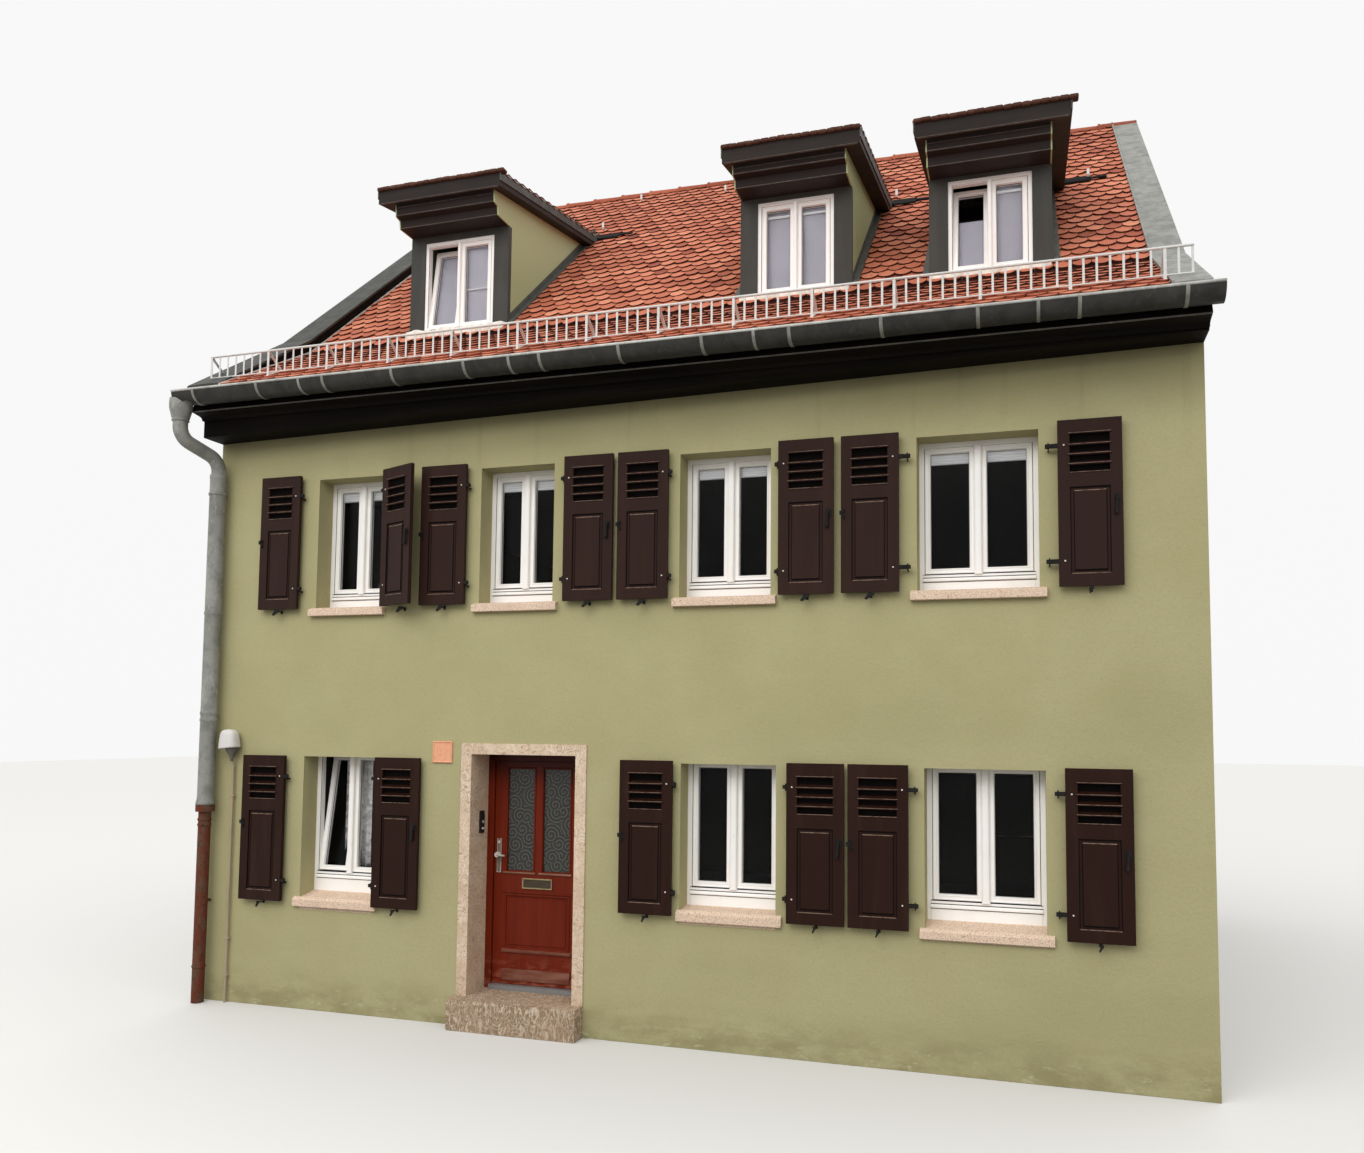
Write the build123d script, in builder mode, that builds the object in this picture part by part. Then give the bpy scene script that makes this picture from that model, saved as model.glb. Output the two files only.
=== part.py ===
from math import cos, radians, sin, tan
import os

from build123d import *

os.makedirs("parts", exist_ok=True)

# Terraced townhouse in millimetres: X along the street front, Y into the house, Z up.
# The street face of the front wall is the plane Y = 0 and the lowest ground is Z = 0.

# Body of the house
house_width = 8766.0
house_depth = 8828.0
wall = 450.0
party_wall = 300.0
ground_floor_top = 258.0
upper_floor_top = 2850.0
attic_floor_top = 5350.0
floor_thick = 250.0

# Roof planes: a flatter foot below the bend, a steeper slope above it
eaves_reach = 477.0
eaves_height = 5708.0
bend_y = 800.0
foot_pitch = 30.3
main_pitch = 41.5
roof_thick = 120.0
tile_edge = 45.0
step_back = 97.0
ridge_radius = 115.0
ridge_sink = 80.0

half_width = house_width / 2
ridge_y = house_depth / 2
foot_slope = tan(radians(foot_pitch))
main_slope = tan(radians(main_pitch))
bend_z = eaves_height + (bend_y + eaves_reach) * foot_slope
ridge_z = bend_z + (ridge_y - bend_y) * main_slope


def roof_top(y):
    """Height of the covering of the street slope above the depth y."""
    return max(bend_z + (y - bend_y) * foot_slope, bend_z + (y - bend_y) * main_slope)


def roof_under(y):
    """Height of the underside of the street slope above the depth y."""
    foot = bend_z + (y - bend_y) * foot_slope - roof_thick / cos(radians(foot_pitch))
    main = bend_z + (y - bend_y) * main_slope - roof_thick / cos(radians(main_pitch))
    return max(foot, main)


under_bend_y = bend_y + (
    roof_thick / cos(radians(main_pitch)) - roof_thick / cos(radians(foot_pitch))
) / (main_slope - foot_slope)

# Door bay: stone surround, timber frame and leaf
surround_left = -1670.0
surround_right = -476.0
surround_top = 2437.0
surround_side = 100.0
surround_head = 95.0
surround_proud = 12.0
door_recess = 307.0
step_top = 258.0
step_reach = 170.0
threshold_height = 40.0
threshold_reach = 40.0
door_frame_depth = 70.0
door_frame_show = 63.0
leaf_clear = 5.0
leaf_thick = 50.0
leaf_setback = 18.0
door_pin_radius = 6.0

# Window openings: left arris and width, one row for each storey
upper_row = [(-3249.0, 700.0), (-1541.0, 715.0), (334.0, 785.0), (2297.0, 917.0)]
ground_row = [(-3319.0, 774.0), (365.0, 808.0), (2344.0, 893.0)]
upper_sill = 3657.0
upper_head = 4892.0
ground_sill = 1052.0
ground_head = 2295.0
low_sill = 960.0
sill_thick = 62.0
sill_reach = 50.0
sill_ear = 50.0

# Window joinery
reveal = 205.0
frame_depth = 70.0
frame_side = 45.0
frame_foot = 100.0
centre_post = 44.0
sash_side = 52.0
sash_depth = 46.0
sash_setback = 14.0
pane_thick = 24.0
sash_gap = 2.0
pivot_gap = 0.3
tilt = 9.0

# Shutters: (window row index, open edge on the left, open edge on the right, leaf width)
upper_shutters = [
    (-3410.0, -2505.0, 430.0),
    (-1655.0, -700.0, 452.0),
    (249.0, 1197.0, 451.0),
    (2165.0, 3349.0, 456.0),
]
ground_shutters = [(-3480.0, -2511.0, 458.0), (313.0, 1274.0, 458.0), (2228.0, 3371.0, 467.0)]
upper_shutter_span = (3667.0, 4925.0)
ground_shutter_span = (1060.0, 2318.0)
low_shutter_span = (968.0, 2300.0)
shutter_thick = 35.0
shutter_stand = 40.0
shutter_meet = 8.0
ajar = 22.0
stile = 86.0
louvre_top = 105.0
louvre_height = 295.0
slat_count = 3
slat_thick = 9.0
panel_top = 512.0
foot_rail = 92.0
panel_sink = 8.0
panel_field = 24.0
panel_rise = 6.0
hinge_inset = 190.0
pin_radius = 5.0
eye_clear = 0.6
eye_radius = 9.0
eye_height = 34.0
tang_thick = 6.0
pin_over = 10.0
bracket_half = 4.0
bracket_height = 14.0
bracket_gap = 1.5

pin_y = -(shutter_stand + shutter_thick / 2)

# Dormers: centre, overall width, height of the sill and of the window head
dormers = [
    (-2390.0, 1117.0, 6625.0, 7560.0),
    (1109.0, 1047.0, 6600.0, 7490.0),
    (2842.0, 1042.0, 6600.0, 7445.0),
]
# Their tops: head board above the window, roof edge above that, roof past the left and right cheek
dormer_tops = [
    (65.0, 338.0, 135.0, 105.0),
    (40.0, 305.0, 70.0, 135.0),
    (30.0, 320.0, 85.0, 150.0),
]
dormer_front = 950.0
dormer_post = 165.0
dormer_post_depth = 60.0
dormer_cheek = 120.0
dormer_pitch = 10.5
dormer_roof_thick = 141.0
dormer_eaves = 405.0
dormer_sill_reach = 100.0
dormer_sill_fall = 12.0
dormer_sill_inset = 15.0
dormer_window_depth = 60.0
dormer_window_setback = 12.0
dormer_well_inset = 150.0
dormer_end_board = 12.0
tier_reach = (227.0, 306.0)
tier_height = 95.0
tier_lean = 12.0
tier_bevel = 14.0

dormer_slope = tan(radians(dormer_pitch))

# Rainwater goods
gutter_radius = 115.0
gutter_skin = 3.0
gutter_rim = 5662.0
gutter_y = -500.0
gutter_end = 60.0
bracket_pitch = 700.0
gutter_bracket_thick = 5.0
gutter_bracket_width = 26.0
pipe_x = -4322.0
pipe_radius = 75.0
pipe_skin = 3.0
pipe_y = -110.0
standpipe_top = 1826.0
standpipe_radius = 56.0
standpipe_collar = 84.0
collar_height = 62.0
pipe_clips = (4700.0, 2660.0)

# Snow guard
guard_y = -300.0
guard_lift = 46.0
guard_height = 223.0
guard_bar = 18.0
guard_rail = 22.0
guard_foot_rail = 14.0
guard_thick = 10.0
guard_pitch = 92.0
guard_bay = 7
guard_end = 104.0
guard_strut = 12.0
guard_toe = 90.0
guard_heel = 200.0

# Cornice: outline behind the gutter, reach from the wall against height, and the level board
# under it, whose foot runs out of level from the left end to the right
cornice_outline = [
    (0.0, 5465.0),
    (282.0, 5465.0),
    (291.0, 5486.0),
    (306.0, 5494.0),
    (330.0, 5500.0),
    (421.0, 5513.0),
    (421.0, 5522.0),
]
cornice_reach = 372.0
cornice_board = 255.0
cornice_foot = (5310.0, 5452.0)


def street(y):
    """Sketch plane parallel to the street front at depth y, growing to the street."""
    return Plane.XZ.offset(-y)


def block(x0, x1, y0, y1, z0, z1, mode=Mode.ADD):
    """Plain block between two corners."""
    with Locations((x0, y0, z0)):
        Box(x1 - x0, y1 - y0, z1 - z0, align=(Align.MIN, Align.MIN, Align.MIN), mode=mode)


def profile(points, x0, x1, mode=Mode.ADD):
    """Outline in depth and height, run along the street from x0 to x1."""
    with BuildSketch(Plane.YZ.offset(x0)) as outline:
        with BuildLine():
            Polyline(*points, close=True)
        make_face()
    extrude(outline.sketch, amount=x1 - x0, mode=mode)


def rect(x0, x1, z0, z1, mode=Mode.ADD):
    """Rectangle of a sketch between two corners."""
    with Locations(((x0 + x1) / 2, (z0 + z1) / 2)):
        Rectangle(x1 - x0, z1 - z0, mode=mode)


def flip(points):
    """The same outline on the garden side of the ridge."""
    return [(house_depth - y, z) for y, z in points]


def cut_openings(row, sill, head, y0, y1):
    """Window openings through a wall, down to the bed of their sills."""
    for left, width in row:
        block(left, left + width, y0, y1, sill - sill_thick, head, mode=Mode.SUBTRACT)


wall_outline = [(0.0, 0.0), (wall, 0.0), (wall, roof_under(wall)), (0.0, roof_under(0.0))]

# Front wall: beside and over the door bay
with BuildPart() as front_wall_left:
    profile(wall_outline, -half_width, surround_left)
    cut_openings(upper_row[:1], upper_sill, upper_head, 0, wall)
    cut_openings(ground_row[:1], low_sill, ground_head, 0, wall)
front_wall_left.part.label = "front_wall_left"
export_step(front_wall_left.part, "parts/front_wall_left.step")

with BuildPart() as front_wall_over_door:
    profile(wall_outline, surround_left, surround_right)
    block(surround_left, surround_right, 0, wall, 0, surround_top, mode=Mode.SUBTRACT)
    cut_openings(upper_row[1:2], upper_sill, upper_head, 0, wall)
front_wall_over_door.part.label = "front_wall_over_door"
export_step(front_wall_over_door.part, "parts/front_wall_over_door.step")

with BuildPart() as front_wall_right:
    profile(wall_outline, surround_right, half_width)
    cut_openings(upper_row[2:], upper_sill, upper_head, 0, wall)
    cut_openings(ground_row[1:], ground_sill, ground_head, 0, wall)
front_wall_right.part.label = "front_wall_right"
export_step(front_wall_right.part, "parts/front_wall_right.step")

# Garden wall with the same rows of windows
with BuildPart() as rear_wall:
    profile(flip(wall_outline), -half_width, half_width)
    cut_openings(upper_row, upper_sill, upper_head, house_depth - wall, house_depth)
    cut_openings(ground_row, ground_sill, ground_head, house_depth - wall, house_depth)
rear_wall.part.label = "rear_wall"
export_step(rear_wall.part, "parts/rear_wall.step")

# Party walls rise to the underside of the roof
gable_half = [
    (wall, roof_under(wall)),
    (under_bend_y, roof_under(under_bend_y)),
    (ridge_y, roof_under(ridge_y)),
]
gable_outline = [(house_depth - wall, 0.0), (wall, 0.0)] + gable_half + flip(gable_half)[-2::-1]

with BuildPart() as left_party_wall:
    profile(gable_outline, -half_width, -half_width + party_wall)
left_party_wall.part.label = "left_party_wall"
export_step(left_party_wall.part, "parts/left_party_wall.step")

with BuildPart() as right_party_wall:
    profile(gable_outline, half_width - party_wall, half_width)
right_party_wall.part.label = "right_party_wall"
export_step(right_party_wall.part, "parts/right_party_wall.step")

# Floors span between the four walls
room = (-half_width + party_wall, half_width - party_wall, wall, house_depth - wall)

with BuildPart() as ground_floor:
    block(*room, 0, ground_floor_top)
ground_floor.part.label = "ground_floor"
export_step(ground_floor.part, "parts/ground_floor.step")

with BuildPart() as upper_floor:
    block(*room, upper_floor_top - floor_thick, upper_floor_top)
upper_floor.part.label = "upper_floor"
export_step(upper_floor.part, "parts/upper_floor.step")

with BuildPart() as attic_floor:
    block(*room, attic_floor_top - floor_thick, attic_floor_top)
attic_floor.part.label = "attic_floor"
export_step(attic_floor.part, "parts/attic_floor.step")

# Roof: the covering reaches past the boarding at the eaves
foot_angle = radians(foot_pitch)
tile_foot_y = -eaves_reach + tile_edge * sin(foot_angle)
tile_foot_z = eaves_height - tile_edge * cos(foot_angle)
board_y = -eaves_reach + step_back
roof_outline = [
    (-eaves_reach, eaves_height),
    (bend_y, bend_z),
    (ridge_y, ridge_z),
    (ridge_y, roof_under(ridge_y)),
    (under_bend_y, roof_under(under_bend_y)),
    (board_y, roof_under(board_y)),
    (board_y, tile_foot_z + (board_y - tile_foot_y) * foot_slope),
    (tile_foot_y, tile_foot_z),
]


def dormer_lines(index):
    """Heights of the soffit and of the roof edge of a dormer."""
    head_board, rise, verge_left, verge_right = dormer_tops[index]
    soffit = dormers[index][3] + head_board
    return soffit, soffit + rise


def dormer_meets(edge):
    """Depth where a line rising at the dormer's pitch from the eaves meets the main slope."""
    start = dormer_front - dormer_eaves
    return (edge - dormer_slope * start - bend_z + main_slope * bend_y) / (main_slope - dormer_slope)


with BuildPart() as front_roof:
    profile(roof_outline, -half_width, half_width)
    for index, (centre, width, base, head) in enumerate(dormers):
        soffit, edge = dormer_lines(index)
        inner = width / 2 - dormer_post
        back = dormer_meets(edge - dormer_roof_thick) - dormer_well_inset
        block(centre - inner, centre + inner, dormer_front, back, eaves_height, ridge_z,
              mode=Mode.SUBTRACT)
front_roof.part.label = "front_roof"
export_step(front_roof.part, "parts/front_roof.step")

with BuildPart() as rear_roof:
    profile(flip(roof_outline), -half_width, half_width)
rear_roof.part.label = "rear_roof"
export_step(rear_roof.part, "parts/rear_roof.step")

# Ridge capping bedded over the meeting of both slopes
with BuildPart() as ridge_tiles:
    with BuildSketch(Plane.YZ.offset(-half_width)) as cap:
        with Locations((ridge_y, ridge_z - ridge_sink)):
            Circle(ridge_radius)
        with BuildLine():
            reach = 2 * ridge_radius
            Polyline(
                (ridge_y, ridge_z),
                (ridge_y + reach, ridge_z - reach * main_slope),
                (ridge_y, ridge_z - 2 * reach * main_slope),
                (ridge_y - reach, ridge_z - reach * main_slope),
                close=True,
            )
        make_face(mode=Mode.SUBTRACT)
    extrude(cap.sketch, amount=house_width)
ridge_tiles.part.label = "ridge_tiles"
export_step(ridge_tiles.part, "parts/ridge_tiles.step")

# Dormers: front frame, cheeks, stepped cornice, sill and roof
with BuildPart() as dormer_fronts:
    for index, (centre, width, base, head) in enumerate(dormers):
        soffit, edge = dormer_lines(index)
        back = dormer_front + dormer_post_depth
        post = [
            (dormer_front, roof_top(dormer_front)),
            (back, roof_top(back)),
            (back, soffit),
            (dormer_front, soffit),
        ]
        profile(post, centre - width / 2, centre - width / 2 + dormer_post)
        profile(post, centre + width / 2 - dormer_post, centre + width / 2)
        block(centre - width / 2, centre + width / 2, dormer_front, back, head, soffit)
dormer_fronts.part.label = "dormer_fronts"
export_step(dormer_fronts.part, "parts/dormer_fronts.step")


def dormer_tiers(index, x0, x1):
    """Stepped cornice over a dormer's front, from x0 to x1."""
    soffit, edge = dormer_lines(index)
    low, high = tier_reach
    back = dormer_front + dormer_post_depth
    under = edge - dormer_roof_thick
    outline = [
        (back, soffit),
        (dormer_front - low, soffit),
        (dormer_front - low - tier_lean, soffit + tier_height - tier_bevel),
        (dormer_front - high, soffit + tier_height),
        (dormer_front - high - tier_lean, under + (dormer_eaves - high - tier_lean) * dormer_slope),
        (back, under + (dormer_eaves + dormer_post_depth) * dormer_slope),
    ]
    profile(outline, x0, x1)


# The rendered cheeks run on over the ends of the cornice
with BuildPart() as dormer_cheeks:
    for index, (centre, width, base, head) in enumerate(dormers):
        soffit, edge = dormer_lines(index)
        front = dormer_front + dormer_post_depth
        rise = (front - dormer_front + dormer_eaves) * dormer_slope
        meet = dormer_meets(edge - dormer_roof_thick)
        cheek = [
            (front, roof_top(front)),
            (meet, roof_top(meet)),
            (front, edge - dormer_roof_thick + rise),
        ]
        profile(cheek, centre - width / 2, centre - width / 2 + dormer_cheek)
        profile(cheek, centre + width / 2 - dormer_cheek, centre + width / 2)
        dormer_tiers(index, centre - width / 2, centre - width / 2 + dormer_end_board)
        dormer_tiers(index, centre + width / 2 - dormer_end_board, centre + width / 2)
dormer_cheeks.part.label = "dormer_cheeks"
export_step(dormer_cheeks.part, "parts/dormer_cheeks.step")

with BuildPart() as dormer_cornices:
    for index, (centre, width, base, head) in enumerate(dormers):
        inner = width / 2 - dormer_end_board
        dormer_tiers(index, centre - inner, centre + inner)
dormer_cornices.part.label = "dormer_cornices"
export_step(dormer_cornices.part, "parts/dormer_cornices.step")

with BuildPart() as dormer_roofs:
    for index, (centre, width, base, head) in enumerate(dormers):
        soffit, edge = dormer_lines(index)
        start = dormer_front - dormer_eaves
        top_meet = dormer_meets(edge)
        low_meet = dormer_meets(edge - dormer_roof_thick)
        slab = [
            (start, edge - dormer_roof_thick),
            (low_meet, roof_top(low_meet)),
            (top_meet, roof_top(top_meet)),
            (start, edge),
        ]
        verge_left, verge_right = dormer_tops[index][2:]
        profile(slab, centre - width / 2 - verge_left, centre + width / 2 + verge_right)
dormer_roofs.part.label = "dormer_roofs"
export_step(dormer_roofs.part, "parts/dormer_roofs.step")

with BuildPart() as dormer_sills:
    for centre, width, base, head in dormers:
        lip = dormer_front - dormer_sill_reach
        wedge = [
            (lip, roof_top(lip)),
            (dormer_front, roof_top(dormer_front)),
            (dormer_front, base),
            (lip, base - dormer_sill_fall),
        ]
        profile(wedge, centre - width / 2 + dormer_sill_inset, centre + width / 2 - dormer_sill_inset)
dormer_sills.part.label = "dormer_sills"
export_step(dormer_sills.part, "parts/dormer_sills.step")


def lights(left, width, base, head, foot=frame_foot):
    """The two lights of a casement window inside its frame: (x0, x1, z0, z1) each."""
    middle = left + width / 2
    low, high = base + foot, head - frame_side
    return [
        (left + frame_side, middle - centre_post / 2, low, high),
        (middle + centre_post / 2, left + width - frame_side, low, high),
    ]


def sash_plane(y_back, z_foot, angle):
    """Plane through the inner foot of a sash, leaning into the room by the angle."""
    lean = radians(angle)
    return Plane(origin=(0, y_back, z_foot), x_dir=(1, 0, 0), z_dir=(0, -cos(lean), sin(lean)))


def casement(left, width, base, head, y_front, depth, leaning=False, foot=frame_foot):
    """Frame with a centre post and two sashes; the left sash may lean into the room."""
    pair = lights(left, width, base, head, foot)
    with BuildSketch(street(y_front + depth)) as ring:
        rect(left, left + width, base, head)
        for x0, x1, z0, z1 in pair:
            rect(x0, x1, z0, z1, mode=Mode.SUBTRACT)
    extrude(ring.sketch, amount=depth)
    sash_back = y_front + sash_setback + sash_depth
    for index, (x0, x1, z0, z1) in enumerate(pair):
        leans = leaning and index == 0
        gap = sash_gap if leans else 0
        lift = pivot_gap if leans else 0
        with BuildSketch(sash_plane(sash_back, z0 + lift, tilt if leans else 0)) as sash:
            rect(x0 + gap, x1 - gap, 0, z1 - z0)
            rect(x0 + sash_side, x1 - sash_side, sash_side, z1 - z0 - sash_side, mode=Mode.SUBTRACT)
        extrude(sash.sketch, amount=sash_depth)


def panes(left, width, base, head, y_front, leaning=False, foot=frame_foot):
    """Glass of both sashes of a casement window."""
    sash_back = y_front + sash_setback + sash_depth
    for index, (x0, x1, z0, z1) in enumerate(lights(left, width, base, head, foot)):
        leans = leaning and index == 0
        lift = pivot_gap if leans else 0
        with BuildSketch(sash_plane(sash_back, z0 + lift, tilt if leans else 0)) as pane:
            rect(x0 + sash_side, x1 - sash_side, sash_side, z1 - z0 - sash_side)
        extrude(pane.sketch, amount=pane_thick)


# Windows of the street front; the left ground-floor window stands tilted open
ground_sills = [low_sill, ground_sill, ground_sill]
with BuildPart() as front_windows:
    for left, width in upper_row:
        casement(left, width, upper_sill, upper_head, reveal, frame_depth)
    for (left, width), base in zip(ground_row, ground_sills):
        casement(left, width, base, ground_head, reveal, frame_depth, leaning=base == low_sill)
front_windows.part.label = "front_windows"
export_step(front_windows.part, "parts/front_windows.step")

with BuildPart() as front_window_glass:
    for left, width in upper_row:
        panes(left, width, upper_sill, upper_head, reveal)
    for (left, width), base in zip(ground_row, ground_sills):
        panes(left, width, base, ground_head, reveal, leaning=base == low_sill)
front_window_glass.part.label = "front_window_glass"
export_step(front_window_glass.part, "parts/front_window_glass.step")

# Garden windows stand the same depth behind their wall face
rear_front = house_depth - reveal - frame_depth
rear_rows = [(upper_row, upper_sill, upper_head), (ground_row, ground_sill, ground_head)]
with BuildPart() as rear_windows:
    for row, base, head in rear_rows:
        for left, width in row:
            casement(left, width, base, head, rear_front, frame_depth)
rear_windows.part.label = "rear_windows"
export_step(rear_windows.part, "parts/rear_windows.step")

with BuildPart() as rear_window_glass:
    for row, base, head in rear_rows:
        for left, width in row:
            panes(left, width, base, head, rear_front)
rear_window_glass.part.label = "rear_window_glass"
export_step(rear_window_glass.part, "parts/rear_window_glass.step")

# Dormer windows between the posts; the outer two stand tilted open
dormer_foot = frame_side
dormer_window_y = dormer_front + dormer_window_setback
with BuildPart() as dormer_windows:
    for index, (centre, width, base, head) in enumerate(dormers):
        span = width - 2 * dormer_post
        casement(centre - span / 2, span, base, head, dormer_window_y, dormer_window_depth,
                 leaning=index != 1, foot=dormer_foot)
dormer_windows.part.label = "dormer_windows"
export_step(dormer_windows.part, "parts/dormer_windows.step")

with BuildPart() as dormer_window_glass:
    for index, (centre, width, base, head) in enumerate(dormers):
        span = width - 2 * dormer_post
        panes(centre - span / 2, span, base, head, dormer_window_y, leaning=index != 1,
              foot=dormer_foot)
dormer_window_glass.part.label = "dormer_window_glass"
export_step(dormer_window_glass.part, "parts/dormer_window_glass.step")


def sill_plan(left, width, top, face, inner):
    """Stone sill: a slab in the opening with ears in front of the wall face."""
    out = sill_reach if inner > face else -sill_reach
    with BuildSketch(Plane.XY.offset(top - sill_thick)) as plan:
        with BuildLine():
            Polyline(
                (left - sill_ear, face - out),
                (left + width + sill_ear, face - out),
                (left + width + sill_ear, face),
                (left + width, face),
                (left + width, inner),
                (left, inner),
                (left, face),
                (left - sill_ear, face),
                close=True,
            )
        make_face()
    extrude(plan.sketch, amount=sill_thick)


with BuildPart() as front_sills:
    for left, width in upper_row:
        sill_plan(left, width, upper_sill, 0, reveal + frame_depth)
    for (left, width), base in zip(ground_row, ground_sills):
        sill_plan(left, width, base, 0, reveal + frame_depth)
front_sills.part.label = "front_sills"
export_step(front_sills.part, "parts/front_sills.step")

with BuildPart() as rear_sills:
    for row, base, head in rear_rows:
        for left, width in row:
            sill_plan(left, width, base, house_depth, rear_front)
rear_sills.part.label = "rear_sills"
export_step(rear_sills.part, "parts/rear_sills.step")

# Moulded cornices under both eaves
cornice_top = roof_under(-cornice_reach)
front_cornice_outline = [(-y, z) for y, z in cornice_outline] + [
    (-cornice_reach, cornice_top),
    (0.0, roof_under(0.0)),
]
board_outline = [
    (-half_width, cornice_foot[0]),
    (half_width, cornice_foot[1]),
    (half_width, cornice_outline[0][1]),
    (-half_width, cornice_outline[0][1]),
]


def cornice_foot_board(face, reach):
    """Board against a wall face whose foot is out of level."""
    with BuildSketch(street(face)) as board:
        with BuildLine():
            Polyline(*board_outline, close=True)
        make_face()
    extrude(board.sketch, amount=reach)


with BuildPart() as front_cornice:
    profile(front_cornice_outline, -half_width, half_width)
    cornice_foot_board(0.0, cornice_board)
front_cornice.part.label = "front_cornice"
export_step(front_cornice.part, "parts/front_cornice.step")

with BuildPart() as rear_cornice:
    profile(flip(front_cornice_outline), -half_width, half_width)
    cornice_foot_board(house_depth + cornice_board, cornice_board)
rear_cornice.part.label = "rear_cornice"
export_step(rear_cornice.part, "parts/rear_cornice.step")


def gutter_run(y):
    """Half-round gutter with closed ends along the house."""
    run_end = half_width + gutter_end
    with BuildSketch(Plane.YZ.offset(-run_end)) as trough:
        with Locations((y, gutter_rim)):
            Circle(gutter_radius)
            Circle(gutter_radius - gutter_skin, mode=Mode.SUBTRACT)
        rect(y - gutter_radius, y + gutter_radius, gutter_rim, gutter_rim + gutter_radius,
             mode=Mode.SUBTRACT)
    extrude(trough.sketch, amount=2 * run_end)
    for end in (-run_end, run_end - gutter_skin):
        with BuildSketch(Plane.YZ.offset(end)) as stop:
            with Locations((y, gutter_rim)):
                Circle(gutter_radius)
            rect(y - gutter_radius, y + gutter_radius, gutter_rim, gutter_rim + gutter_radius,
                 mode=Mode.SUBTRACT)
        extrude(stop.sketch, amount=gutter_skin)


def gutter_straps(y, board):
    """Strap brackets round a gutter, each with a tab to the eaves board."""
    count = int(house_width / bracket_pitch)
    inset = (house_width - count * bracket_pitch) / 2
    for index in range(count + 1):
        x = -half_width + inset + index * bracket_pitch - gutter_bracket_width / 2
        outer = gutter_radius + gutter_bracket_thick
        with BuildSketch(Plane.YZ.offset(x)) as strap:
            with Locations((y, gutter_rim)):
                Circle(outer)
                Circle(gutter_radius, mode=Mode.SUBTRACT)
            rect(y - outer, y + outer, gutter_rim, gutter_rim + outer, mode=Mode.SUBTRACT)
            near = min(board, y + gutter_radius) if board > y else board
            far = board if board > y else max(board, y - gutter_radius)
            rect(min(near, far), max(near, far), gutter_rim - 4 * gutter_bracket_thick, gutter_rim)
        extrude(strap.sketch, amount=gutter_bracket_width)


with BuildPart() as front_gutter:
    gutter_run(gutter_y)
    with Locations((pipe_x, gutter_y, gutter_rim - gutter_radius)):
        Cylinder(pipe_radius - pipe_skin, gutter_radius, mode=Mode.SUBTRACT)
front_gutter.part.label = "front_gutter"
export_step(front_gutter.part, "parts/front_gutter.step")

with BuildPart() as rear_gutter:
    gutter_run(house_depth - gutter_y)
rear_gutter.part.label = "rear_gutter"
export_step(rear_gutter.part, "parts/rear_gutter.step")

with BuildPart() as gutter_brackets:
    gutter_straps(gutter_y, board_y)
    gutter_straps(house_depth - gutter_y, house_depth - board_y)
gutter_brackets.part.label = "gutter_brackets"
export_step(gutter_brackets.part, "parts/gutter_brackets.step")

# Downpipe: outlet under the gutter, swan neck back to the wall, straight run
neck_top = 5400.0
neck_foot = 5080.0
neck_bend = 90.0
with BuildPart() as front_downpipe:
    with BuildLine() as run:
        FilletPolyline(
            (pipe_x, gutter_y, gutter_rim - gutter_radius),
            (pipe_x, gutter_y, neck_top),
            (pipe_x, pipe_y, neck_foot),
            (pipe_x, pipe_y, standpipe_top),
            radius=neck_bend,
        )
    with BuildSketch(Plane.XY.offset(gutter_rim - gutter_radius)) as bore:
        with Locations((pipe_x, gutter_y)):
            Circle(pipe_radius)
    sweep(bore.sketch, path=run.line)
    for z in pipe_clips:
        with Locations((pipe_x, pipe_y, z)):
            Cylinder(pipe_radius + gutter_bracket_thick, gutter_bracket_width)
        block(pipe_x - gutter_bracket_width / 2, pipe_x + gutter_bracket_width / 2,
              pipe_y, 0, z - gutter_bracket_width / 2, z + gutter_bracket_width / 2)
front_downpipe.part.label = "front_downpipe"
export_step(front_downpipe.part, "parts/front_downpipe.step")

with BuildPart() as standpipe:
    with Locations((pipe_x, pipe_y, 0)):
        Cylinder(standpipe_radius, standpipe_top, align=(Align.CENTER, Align.CENTER, Align.MIN))
    with Locations((pipe_x, pipe_y, standpipe_top - collar_height)):
        Cylinder(standpipe_collar, collar_height, align=(Align.CENTER, Align.CENTER, Align.MIN))
    block(pipe_x - gutter_bracket_width / 2, pipe_x + gutter_bracket_width / 2,
          pipe_y, 0, standpipe_top / 2, standpipe_top / 2 + gutter_bracket_width)
standpipe.part.label = "standpipe"
export_step(standpipe.part, "parts/standpipe.step")

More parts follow.
